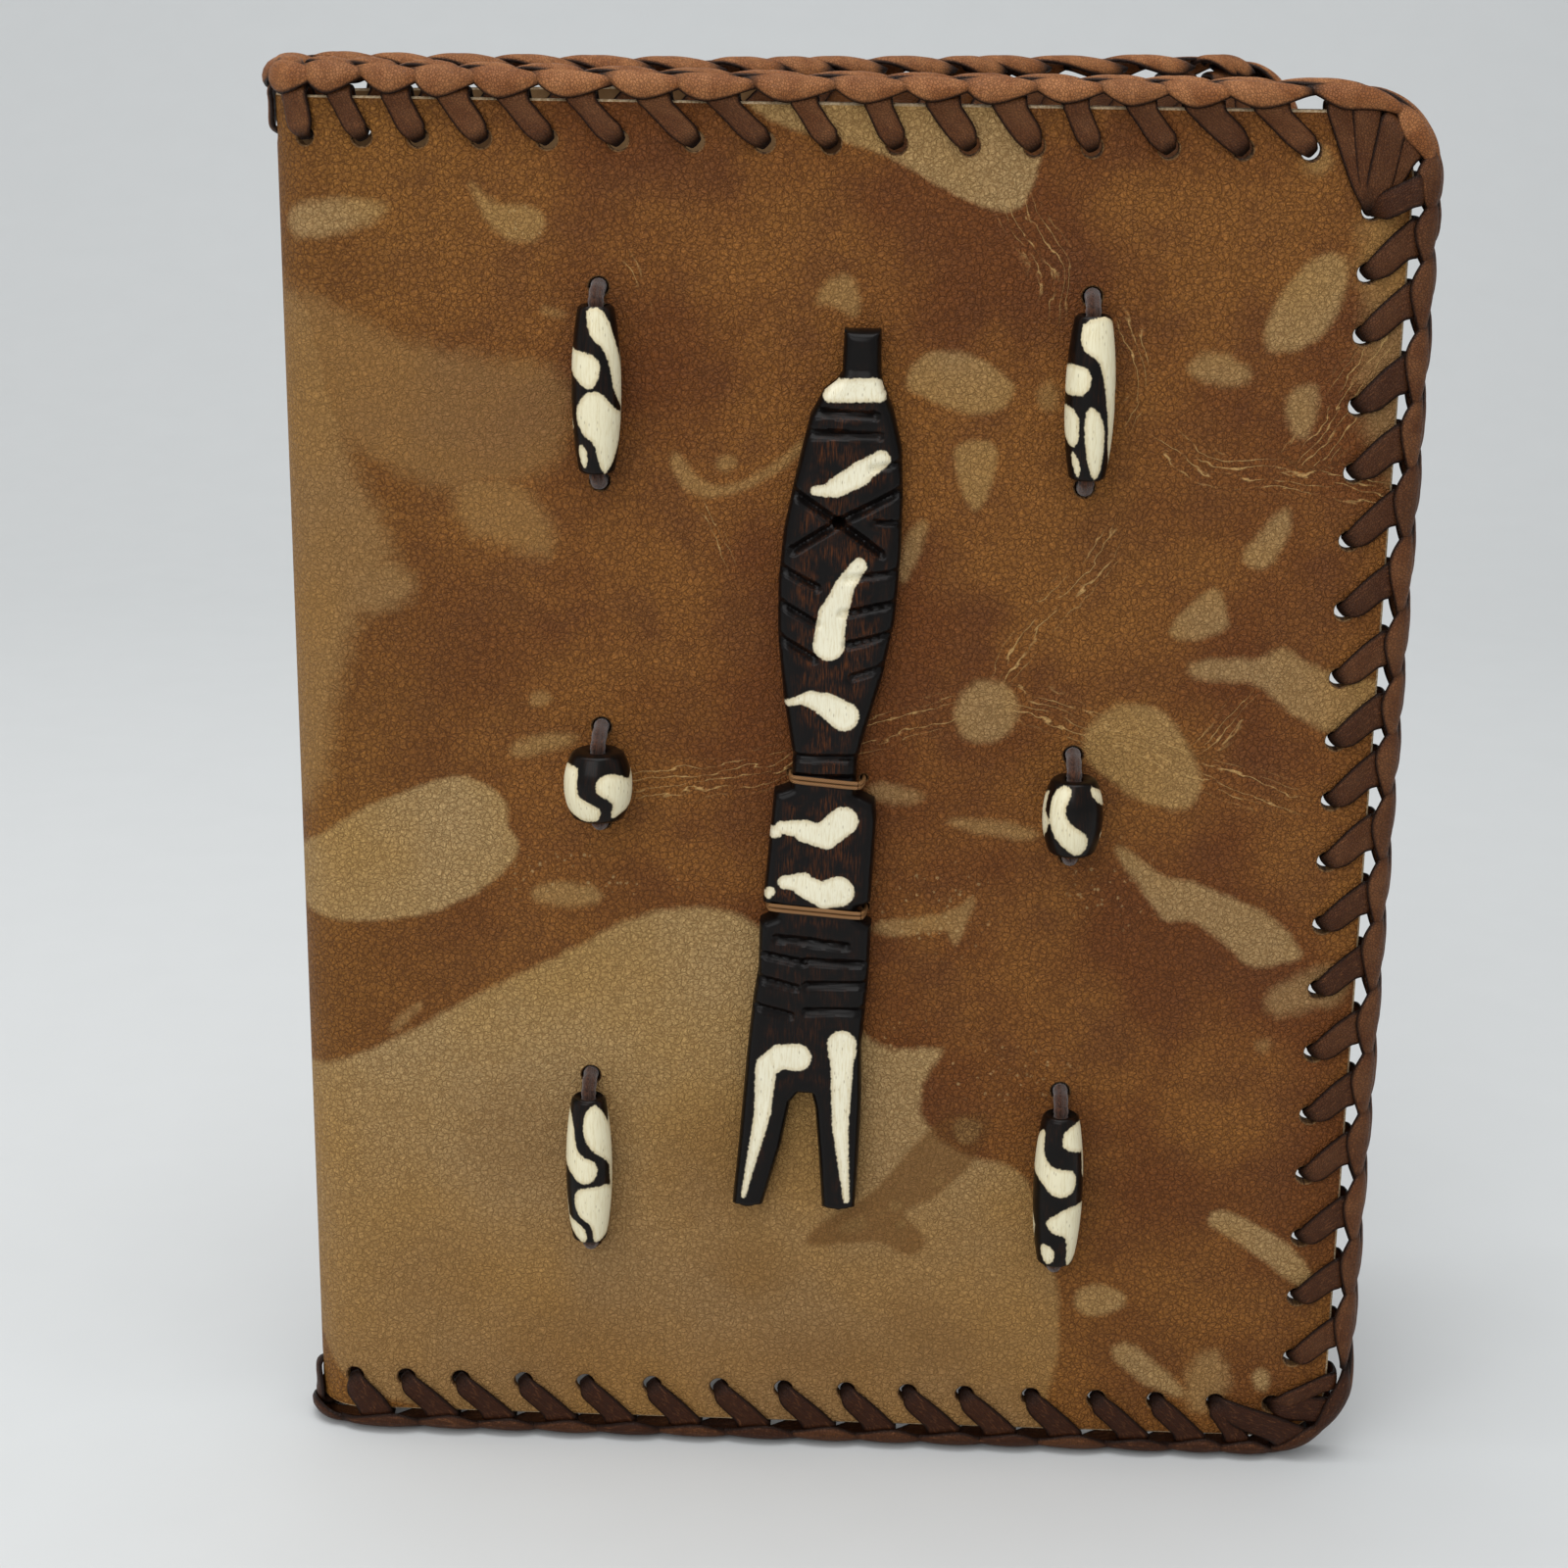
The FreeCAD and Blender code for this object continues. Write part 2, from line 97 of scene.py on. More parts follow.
def place(q, n, z):
    """Points in the row frame, in millimetres."""
    q, n, z = np.broadcast_arrays(np.asarray(q, float), n, z)
    on_arc = np.clip(q, -HALF_ARC, HALF_ARC)
    theta = SPINE_MIDDLE + on_arc / SPINE_R
    out = np.stack([np.cos(theta), np.sin(theta)], -1)
    tangent = np.stack([-np.sin(theta), np.cos(theta)], -1)
    xy = CENTRE + out * (SPINE_R + n)[..., None] + tangent * (q - on_arc)[..., None]
    return np.concatenate([xy, z[..., None]], -1)


# ---- mesh building ------------------------------------------------------------------------
class Build:
    """Vertices, faces and vertex attributes of one piece while it is put together."""

    def __init__(self):
        self.co, self.faces, self.slots, self.attributes, self.count = [], [], [], {}, 0

    def add(self, co, faces, slot=0, **attributes):
        co = np.asarray(co, float).reshape(-1, 3)
        faces = np.asarray(faces, int)
        self.co.append(co)
        self.faces.append(faces + self.count)
        self.slots.append(np.broadcast_to(slot, len(faces)).copy())
        for name in set(self.attributes) | set(attributes):
            value = np.asarray(attributes[name], float)
            self.attributes.setdefault(name, []).append(value)
        self.count += len(co)

    def more(self, faces, slot, start):
        """Faces on vertices that are already there, numbered from start."""
        self.faces.append(faces + start)
        self.slots.append(np.full(len(faces), slot))

    def finish(self, name, materials, sharp=40.0):
        mesh = bpy.data.meshes.new(name)
        faces = [f for block in self.faces for f in block.tolist()]
        mesh.from_pydata((np.concatenate(self.co) * MM).tolist(), [], faces)
        mesh.polygons.foreach_set("material_index", np.concatenate(self.slots).astype(np.int32))
        for key, blocks in self.attributes.items():
            data = np.concatenate(blocks).astype(np.float32)
            kind = "FLOAT_VECTOR" if data.ndim == 2 else "FLOAT"
            layer = mesh.attributes.new(key, kind, "POINT")
            layer.data.foreach_set("vector" if data.ndim == 2 else "value", data.ravel())
        for m in materials:
            mesh.materials.append(m)
        mesh.shade_smooth()
        mesh.set_sharp_from_angle(angle=math.radians(sharp))
        mesh.update()
        obj = bpy.data.objects.new(name, mesh)
        bpy.context.scene.collection.objects.link(obj)
        return obj


def grid_faces(rows, cols, start=0, close=False):
    """Quads of a grid of vertices numbered row by row; close joins the last column to the first."""
    i = np.arange(rows - 1)[:, None]
    j = np.arange(cols if close else cols - 1)[None, :]
    k = (j + 1) % cols
    a, b = i * cols + j, i * cols + k
    c, d = (i + 1) * cols + k, (i + 1) * cols + j
    return np.stack([a, b, c, d], -1).reshape(-1, 4) + start


def smooth_keys(keys, count):
    """A smooth curve through the key rows, evenly spread by key number (Catmull-Rom)."""
    k = np.asarray(keys, float)
    p = np.vstack([2 * k[0] - k[1], k, 2 * k[-1] - k[-2]])
    t = np.linspace(0, len(k) - 1 - 1e-9, count)
    i = t.astype(int)
    f = (t - i)[:, None]
    a, b, c, d = p[i], p[i + 1], p[i + 2], p[i + 3]
    return 0.5 * (2 * b + (c - a) * f + (2 * a - 5 * b + 4 * c - d) * f ** 2
                  + (3 * b - a - 3 * c + d) * f ** 3)


# places across a strip, closer together at its edges
ACROSS = np.sin(np.linspace(-math.pi / 2, math.pi / 2, 9))


def strip(build, mid, thickness, camber, outward_row, outward, tone):
    """A closed flat strip of leather round a grid of mid points (rows along it, 9 across)."""
    rows, cols, _ = mid.shape
    along = np.gradient(mid, axis=0)
    side = np.gradient(mid, axis=1)
    normal = np.cross(side, along)
    normal /= np.linalg.norm(normal, axis=-1, keepdims=True) + 1e-12
    if normal[outward_row, cols // 2] @ outward < 0:
        normal = -normal
    half = thickness / 2 * np.sqrt(np.clip(1 - ACROSS ** 6, 0.06, 1))
    lift = camber * (1 - ACROSS ** 2)
    top = mid + normal * (half + lift)[None, :, None]
    bottom = mid + normal * (lift - half)[None, :, None]
    co = np.concatenate([top.reshape(-1, 3), bottom.reshape(-1, 3)])
    n = rows * cols
    over = grid_faces(rows, cols)
    under = grid_faces(rows, cols, n)[:, ::-1]
    i = np.arange(rows - 1)
    left = np.stack([i * cols, (i + 1) * cols, n + (i + 1) * cols, n + i * cols], -1)
    r = i * cols + cols - 1
    right = np.stack([r, n + r, n + r + cols, r + cols], -1)
    j = np.arange(cols - 1)
    first = np.stack([j, n + j, n + j + 1, j + 1], -1)
    e = (rows - 1) * cols + j
    last = np.stack([e, e + 1, n + e + 1, n + e], -1)
    faces = np.concatenate([over, under, left, right, first, last])
    middle = mid[:, cols // 2]
    length = np.concatenate([[0], np.cumsum(np.linalg.norm(np.diff(middle, axis=0), axis=1))])
    half_width = np.linalg.norm(mid[:, -1] - mid[:, 0], axis=-1) / 2
    data = np.stack([
        np.broadcast_to(length[:, None], (rows, cols)),
        ACROSS[None, :] * np.maximum(half_width, 0.3)[:, None],
        np.full((rows, cols), tone),
    ], -1).reshape(-1, 3)
    # rim marks a strip's edges and ends, which the lace material paints dark as shade in the gaps where the
    # strips lie against and under each other
    row = np.arange(rows)
    ends = np.clip(1.05 - np.minimum(row, rows - 1 - row) / 22.0, 0, 1)
    rim = np.maximum(np.abs(ACROSS)[None, :], ends[:, None]).ravel()
    turned = normal_check(co, faces[:len(over)], normal.reshape(-1, 3))
    if turned:
        faces = faces[:, ::-1]
    build.add(co, faces, strip=np.concatenate([data, data]), rim=np.concatenate([rim, rim]))


def normal_check(co, faces, normal):
    """True if the faces look the other way from the normals."""
    a, b, c = (co[faces[:, k]] for k in (0, 1, 2))
    return float(np.sum(np.cross(b - a, c - a) * normal[faces[:, 0]])) < 0


def flat_mesh(points, edges):
    """Triangles between flat points that keep the given edges."""
    got = delaunay_2d_cdt([Vector(p) for p in points.tolist()], edges, [], 0, 1e-5, True)
    first = np.array([ids[0] for ids in got[3]])
    return first[np.array([f for f in got[2] if len(f) == 3])]


def turned_up(points, tris, least=-1.0):
    """The triangles with more than the least area, each one's points in the same sense."""
    a, b, c = (points[tris[:, k]] for k in range(3))
    area = (b[:, 0] - a[:, 0]) * (c[:, 1] - a[:, 1]) - (b[:, 1] - a[:, 1]) * (c[:, 0] - a[:, 0])
    tris, area = tris[np.abs(area) > least], area[np.abs(area) > least]
    tris[area < 0] = tris[area < 0][:, ::-1]
    return tris


def ring_edges(count, start=0):
    return [(start + i, start + (i + 1) % count) for i in range(count)]


# ---- the rim: a closed path round the cut edge -------------------------------------------
RUN = EDGE - CORNER_R                          # along the top from the spine's middle
ARC = math.pi / 2 * CORNER_R
SIDE = HIGH - LOW - 2 * CORNER_R
E = 2 * RUN + 2 * ARC + SIDE                   # half of the rim: front cover


def rim(e):
    """Base point, direction along and direction outwards, each as (q, z), at rim place e."""
    e = np.mod(np.asarray(e, float), 2 * E)
    back = e > E
    m = np.where(back, 2 * E - e, e)
    s1, s2, s3, s4 = RUN, RUN + ARC, RUN + ARC + SIDE, RUN + 2 * ARC + SIDE
    a1 = math.pi / 2 - (m - s1) / CORNER_R     # top corner, from up round to right
    a2 = -(m - s3) / CORNER_R                  # bottom corner, from right round to down
    angle = np.select([m < s1, m < s2, m < s3, m < s4],
                      [np.full_like(m, math.pi / 2), a1, np.zeros_like(m), a2],
                      np.full_like(m, -math.pi / 2))
    uq, uz = np.cos(angle), np.sin(angle)
    q = np.select([m < s1, m < s4], [m, RUN + CORNER_R * uq], E - m)
    z = np.select([m < s2, m < s3], [HIGH - CORNER_R + CORNER_R * uz, HIGH - CORNER_R - (m - s2)],
                  LOW + CORNER_R + CORNER_R * uz)
    tq, tz = uz, -uq
    sign = np.where(back, -1.0, 1.0)
    return (np.stack([q * sign, z], -1), np.stack([tq, np.where(back, -tz, tz)], -1),
            np.stack([uq * sign, uz], -1))


# ---- lacing holes and stitches ------------------------------------------------------------
# the hand-punched rows: x along the top and the bottom from the spine's outermost line, and z
TOP_ROW = [150.8, 141.1, 130.5, 119.5, 111.2, 101.9, 91.4, 81.9,
           72.3, 62.1, 51.1, 40.8, 31.2, 22.0, 13.8, 5.2]
BOTTOM_ROW = [157.1, 148.0, 138.3, 128.6, 117.9, 107.1, 97.8, 87.7,
              77.4, 66.8, 55.8, 44.8, 34.6, 24.2, 15.2, 6.6]
FORE_ROW = [17.7, 28.6, 39.1, 50.0, 60.3, 70.9, 81.5, 92.2, 102.5, 112.3,
            121.8, 131.7, 142.1, 152.8, 163.0, 172.9, 183.3, 192.3, 201.4]
TOP_LEAN = [6.1, 5.9, 4.3, 2.6, 3.8, 4.0, 2.8, 3.9, 6.0, 5.7, 5.2, 4.8, 3.8, 2.9, 2.9, 1.0]
TOP_WIDTH = [5.4, 6.0, 4.6, 3.9, 5.2, 5.2, 4.2, 4.2, 5.0, 5.2, 4.6, 4.8, 5.0, 4.4, 3.7, 4.2]

holes = [(q_of(x), ROW_HIGH) for x in TOP_ROW]
holes += [(q_of(x), ROW_LOW) for x in BOTTOM_ROW]
holes += [(ROW_Q, z) for z in FORE_ROW]
spine_holes = [(0.0, ROW_HIGH), (0.0, ROW_LOW)]

# one stitch: hole, rim place where the strap goes over the edge, width along the edge, lift of
# the strap off the leather, and whether it carries a pair of braid leaves
stitches = []
for x, lean, width in zip(TOP_ROW, TOP_LEAN, TOP_WIDTH):
    stitches.append(((q_of(x), ROW_HIGH), q_of(x) - lean, width, 0.0, True))
corner_hole = (ROW_Q, FORE_ROW[-1])
for past_run, width, lift, leaf in ((-1.2, 4.2, 0.0, False), (2.4, 4.4, 0.35, True),
                                    (6.6, 4.6, 0.95, False), (10.6, 4.4, 0.6, True),
                                    (ARC + 0.9, 4.6, 1.6, True)):
    stitches.append((corner_hole, RUN + past_run, width, lift, leaf))
FORE_LEAN, FOOT_LEAN, SPINE_LEAN = 5.1, 5.9, 3.6
for z in FORE_ROW[-2::-1]:
    e_hole = RUN + ARC + (HIGH - CORNER_R - z)
    lean = FORE_LEAN + rng.uniform(-0.35, 0.35)
    stitches.append(((ROW_Q, z), e_hole - lean, 5.7 + rng.uniform(-0.3, 0.3), 0.0, True))
low_corner = RUN + ARC + SIDE
for x, at, width, lift, leaf in ((BOTTOM_ROW[0], low_corner - 0.6, 3.2, 0.1, False),
                                 (BOTTOM_ROW[0], low_corner + 4.6, 5.0, 0.0, True),
                                 (BOTTOM_ROW[1], low_corner + 11.2, 6.2, 0.5, True),
                                 (BOTTOM_ROW[1], E - q_of(151.7), 4.2, 0.0, True)):
    stitches.append(((q_of(x), ROW_LOW), at, width, lift, leaf))
for x in BOTTOM_ROW[2:]:
    lean = (FOOT_LEAN + rng.uniform(-0.4, 0.4)) if x > 12 else SPINE_LEAN
    width = 5.6 + rng.uniform(-0.3, 0.3)
    stitches.append(((q_of(x), ROW_LOW), E - q_of(x) - lean, width, 0.0, True))


def is_turned(hole, at):
    """True for the stitches that fan out at a corner."""
    base, _t, _u = rim(at)
    return math.hypot(*(base - np.array(hole))) > 9.6 or RUN - 2 < at < RUN + ARC + 2


back_stitches = []
for hole, at, width, lift, leaf in stitches:
    mirrored = (-hole[0], hole[1])
    if is_turned(hole, at) or low_corner - 2 < at < low_corner + ARC + 2:
        there = 2 * E - at
    else:
        nearest = RUN + ARC + (HIGH - CORNER_R - hole[1]) if hole[0] > ROW_Q - 0.1 else hole[0]
        if hole[1] < LOW + 8 and hole[0] < ROW_Q - 0.1:
            nearest = E - hole[0]
        there = 2 * E - nearest - (nearest - at)
    back_stitches.append((mirrored, there, width, lift, leaf))
spine_stitches = [(spine_holes[0], -1.2, 4.4, 0.0, True), (spine_holes[1], E - 1.2, 4.6, 0.0, True)]


def rise_at(e):
    """The braid stands higher where the lacing starts, at the head of the spine."""
    q = rim(e)[0][..., 0]
    out = rim(e)[2]
    head = np.where(out[..., 1] > 0.7, 0.36 * np.clip(1 - (np.abs(q) - 12) / 60, 0, 1), 0.0)
    return 1 + head + 0.30 * np.clip(out[..., 1] + np.abs(out[..., 0]) + 0.2, 0, 1) ** 2


def strap_grid(hole, at, width, lift, depth):
    """Mid points of one stitch's strap: out of the hole, over the edge and back to the hole."""
    hole = np.array(hole)
    base, tangent, out = rim(at)
    way = base - hole
    length = np.linalg.norm(way)
    way = way / length
    square = np.array([-way[1], way[0]])
    if square @ tangent < 0:
        square = -square
    # share of the way from the hole to the edge, n, and width (1 is the stitch's own width)
    first = [(-0.03, -1.15, 2.1), (0.03, -0.25, 2.5), (0.12, 0.48, 3.2),
             (0.28, 0.66, 4.1), (0.55, 0.62, 1.0), (0.80, 0.62, 1.0), (0.97, 0.74, 1.0)]
    rows = []
    for s, n, w in first:
        turn = min(1.0, s / 0.5)
        side = square * (1 - turn) + tangent * turn
        side = side / np.linalg.norm(side)
        wide = width if w == 1.0 else w * min(1.0, width / 4.4)
        rise = lift * min(1.0, max(0.0, (s - 0.1) / 0.3))
        rows.append([*(hole + way * length * s), n + rise, *(side * wide / 2)])
    half = -depth / 2
    for u, n in ((0.55, 0.58 + lift * 0.8), (1.05, 0.05 + lift * 0.5), (1.22, half)):
        rows.append([*(base + out * u), n, *(tangent * width * 0.49)])
    mirrored = [[r[0], r[1], -depth - r[2], r[3], r[4]] for r in rows[-2::-1]]
    k = smooth_keys(rows + mirrored, 44)
    q = k[:, 0:1] + k[:, 3:4] * ACROSS[None, :]
    z = k[:, 1:2] + k[:, 4:5] * ACROSS[None, :]
    return q, np.broadcast_to(k[:, 2:3], q.shape), z


LEAF = [  # e from the leaf's middle, place over the crest, width, lift
    (-6.4, 0.90, 0.5, -0.35), (-4.9, 1.35, 1.8, 0.05), (-2.9, 1.85, 3.1, 0.50),
    (-0.8, 2.15, 3.5, 0.68), (1.4, 2.15, 3.1, 0.60), (3.6, 2.00, 2.3, 0.35),
    (5.6, 1.80, 1.3, -0.05), (6.9, 1.70, 0.5, -0.40),
]
CREST_LEAF = [  # the inner row, which comes over the crest at its far end
    (-6.6, 2.00, 0.5, -0.30), (-4.9, 1.90, 2.2, 0.15), (-2.6, 1.45, 3.3, 0.50),
    (-0.3, 0.95, 3.5, 0.66), (2.0, 0.35, 3.0, 0.62), (4.2, -0.25, 2.3, 0.45),
    (6.0, -0.75, 1.4, 0.10), (7.2, -1.05, 0.5, -0.30),
]


def leaf_grid(at, scale, face, seed):
    """Mid points of one leaf of the braid; face is 1 on the outer side and -1 on the inner."""
    wobble = np.random.default_rng(seed).uniform(-1, 1, 4)
    keys = np.array(LEAF if face > 0 else CREST_LEAF)
    keys[:, 0] *= scale
    keys[:, 1] += 0.12 * wobble[0]
    keys[:, 2] *= 1 + 0.07 * wobble[1]
    keys[1:-1, 3] += 0.06 * wobble[2]
    k = smooth_keys(keys, 30)
    e = at + k[:, 0:1] + ACROSS[None, :] * 0.25 * k[:, 2:3] * wobble[3]
    v = (k[:, 1:2] + ACROSS[None, :] * k[:, 2:3] / 2) * face
    phi = np.clip(v / 2.2, -2.1, 2.1)
    rise = rise_at(e)
    u = 0.60 + (1.85 + 0.6 * k[:, 3:4]) * np.cos(phi) * rise + 0.6 * (rise - 1)
    n = STACK_MID + (2.35 + k[:, 3:4]) * np.sin(phi)
    base, _t, out = rim(e)
    return base[..., 0] + out[..., 0] * u, n, base[..., 1] + out[..., 1] * u


def lace(stitch_list, seed):
    """All strips: (q, n, z, thickness, camber, row that faces out, side it faces, is a leaf)."""
    strips = []
    for hole, at, width, lift, _leaf in stitch_list:
        deep = abs(hole[0]) + 6.5 > POCKET_Q
        q, n, z = strap_grid(hole, at, width, lift, 2.9 if deep else 1.6)
        strips.append((q, n, z, 0.85, 0.12, 14, 1, False))
    spots = sorted(s[1] for s in stitch_list if s[4])
    for i, at in enumerate(spots):
        gap = [abs(at - spots[j]) for j in (i - 1, i + 1) if 0 <= j < len(spots)]
        scale = min(1.45, max(0.5, np.mean(gap) / 10.0))
        q, n, z = leaf_grid(at - 1.5 * scale, scale, 1, seed + i)
        strips.append((q, n, z, 0.75, 0.42, 12, 1, True))
        q, n, z = leaf_grid(at + 4.6 * scale, scale, -1, seed + 500 + i)
        strips.append((q, n, z, 0.75, 0.42, 12, -1, True))
    return strips


def add_strip(build, piece):
    q, n, z, thickness, camber, row, side, leaf = piece
    # painted light and shade: the straps are darker than the braid leaves, and the laces are lighter along
    # the top, where light falls on them from above, and darker towards the foot
    dark = 0.0 if leaf else 0.6
    if z.mean() < HIGH - 7:
        dark = max(dark + 0.15, 0.6) + 0.2 * (z.mean() < LOW + 8)
    core = place(q[row, 4], STACK_MID, z[row, 4])
    toward = place(q[row, 4], STACK_MID + side, z[row, 4]) - core
    # tone is this painted shade with a little random tone of each strip added
    tone = min(1.0, dark + 0.2 * float(tones.uniform(0, 1)))
    strip(build, place(q, n, z), thickness, camber, row, toward, tone)


# ---- leather sheets -----------------------------------------------------------------------
def wave(q, z):
    """The slight waviness of the leather, fading towards the laced edges."""
    a = np.abs(q)
    inner = np.clip(np.minimum.reduce([EDGE - a - 9, z - LOW - 9, HIGH - z - 9]) / 14, 0, 1)
    w = (0.16 * np.sin(a / 13.0 + 0.6) * np.sin(z / 19.0 + 1.1)
         + 0.10 * np.sin(a / 7.3 + z / 11.0) + 0.08 * np.sin(z / 5.9 - a / 16.0))
    return w * inner * np.clip(a / 20 - 0.3, 0, 1)


def pucker(q, z, holes_here):
    """The leather dips a little at each laced hole."""
    dip = np.zeros_like(q)
    for hq, hz in holes_here:
        near = (np.abs(q - hq) < 5) & (np.abs(z - hz) < 5)
        r = np.hypot(q[near] - hq, z[near] - hz)
        dip[near] -= 0.22 * np.exp(-((r - HOLE_R) / 1.1) ** 2)
    return dip


def outline(start, inset, seam):
    """Outline of a sheet from q=start to the rounded fore edge, and each point's way outwards."""
    step = 0.9
    pts, out = [], []

    def run(a, b, way):
        count = max(2, int(math.dist(a, b) / step))
        for t in np.arange(count) / count:
            pts.append((a[0] + (b[0] - a[0]) * t, a[1] + (b[1] - a[1]) * t))
            out.append(way)

    def corner(cz, from_angle):
        for t in np.arange(18) / 18:
            a = from_angle + t * math.pi / 2
            pts.append((RUN + (CORNER_R - inset) * math.cos(a),
                        cz + (CORNER_R - inset) * math.sin(a)))
            out.append((math.cos(a), math.sin(a)))
    left = start if seam else start + inset
    left_way = (0.0, 0.0) if seam else (-1.0, 0.0)
    run((left, LOW + inset), (RUN, LOW + inset), (0, -1))
    corner(LOW + CORNER_R, -math.pi / 2)
    run((EDGE - inset, LOW + CORNER_R), (EDGE - inset, HIGH - CORNER_R), (1, 0))
    corner(HIGH - CORNER_R, 0.0)
    run((RUN, HIGH - inset), (left, HIGH - inset), (0, 1))
    top_left = len(pts)
    run((left, HIGH - inset), (left, LOW + inset), left_way)
    out[top_left] = (left_way[0], 1.0)
    out[0] = (left_way[0], -1.0)
    return np.array(pts), np.array(out, float)


def inner_points(start, spacing, holes_here):
    """Points of a triangular grid that lie inside the sheet and clear of its holes."""
    zs = np.arange(LOW + 0.8, HIGH - 0.6, spacing * math.sqrt(3) / 2)
    qs = np.arange(start + 0.5, EDGE - 0.6, spacing)
    q, z = np.meshgrid(qs, zs)
    q = q + (np.arange(len(zs)) % 2)[:, None] * spacing / 2
    q, z = q.ravel(), z.ravel()
    past_q = np.clip(q - RUN, 0, None)
    past_z = np.clip(np.abs(z - (LOW + HIGH) / 2) - (HIGH - LOW) / 2 + CORNER_R, 0, None)
    keep = (q < EDGE - 0.8) & (np.hypot(past_q, past_z) < CORNER_R - 0.8)
    for hq, hz, r in holes_here:
        keep &= np.hypot(q - hq, z - hz) > r + HOLE_BEVEL + 0.45 * spacing
    return np.stack([q[keep], z[keep]], -1)


HOLE_BEVEL, EDGE_BEVEL, BEVEL_DEPTH = 0.2, 0.3, 0.28


def sheet(build, start, seam, holes_here, spacing, over, under, mirror, describe, slots=(0, 1, 2, 3)):
    """A sheet of leather with its holes. over and under give n of its two faces at (q, z).

    holes_here is a list of (q, z, radius). Slots: grain, cut edge, flesh and hole wall materials.
    """
    ring, ring_out = outline(start, EDGE_BEVEL, seam)
    loops, outs = [ring], [ring_out]
    for hq, hz, r in holes_here:
        count = 24 if r > 1 else 12
        a = np.arange(count) * 2 * math.pi / count
        way = np.stack([np.cos(a), np.sin(a)], -1)
        loops.append(np.array([hq, hz]) + way * (r + HOLE_BEVEL))
        outs.append(-way)
    points = np.concatenate(loops + [inner_points(start, spacing, holes_here)])
    edges, owner, base = [], np.full(len(points), -1), 0
    for k, loop in enumerate(loops):
        edges += ring_edges(len(loop), base)
        owner[base:base + len(loop)] = k
        base += len(loop)
    tris = flat_mesh(points, edges)
    who = owner[tris]
    in_hole = (who[:, 0] > 0) & (who[:, 0] == who[:, 1]) & (who[:, 1] == who[:, 2])
    tris = turned_up(points, tris[~in_hole], 1e-7)

    q, z = points[:, 0], points[:, 1]
    n_over, n_under = over(q, z), under(q, z)
    total = len(points)
    co = [np.stack([q, n_over, z], -1), np.stack([q, n_under, z], -1)]
    panel = [np.stack([q, z, q * 0], -1)] * 2
    # walls: from the upper face's loop over two bevel rings to the lower face's loop
    walls, at, base = [], 2 * total, 0
    for loop, way in zip(loops, outs):
        count = len(loop)
        depth = EDGE_BEVEL if base == 0 else HOLE_BEVEL
        rim_q, rim_z = loop[:, 0] + way[:, 0] * depth, loop[:, 1] + way[:, 1] * depth
        down = min(BEVEL_DEPTH, depth)
        co.append(np.stack([rim_q, n_over[base:base + count] - down, rim_z], -1))
        co.append(np.stack([rim_q, n_under[base:base + count] + down, rim_z], -1))
        panel += [np.stack([rim_q, rim_z, rim_q * 0], -1)] * 2
        i = np.arange(count)
        j = (i + 1) % count
        firsts = (base, at, at + count, total + base)
        for upper, lower in zip(firsts, firsts[1:]):
            wall = np.stack([upper + i, lower + i, lower + j, upper + j], -1)
            walls.append(wall if base == 0 else wall[:, ::-1])
        at += 2 * count
        base += count
    co, panel = np.concatenate(co), np.concatenate(panel)
    marks = describe(panel[:, 0], panel[:, 1])
    side = -1.0 if mirror else 1.0
    world = place(co[:, 0] * side, co[:, 1], co[:, 2])
    panel[:, 0] *= side
    turn = slice(None, None, -1 if mirror else 1)
    rim_walls = 3 * len(ring)
    walls = np.concatenate(walls)[:, turn]
    begin = build.count
    build.add(world, tris[:, turn], slots[0], panel=panel, **marks)
    build.more((tris[:, ::-1] + total)[:, turn], slots[2], begin)
    build.more(walls[:rim_walls], slots[1], begin)
    build.more(walls[rim_walls:], slots[3], begin)


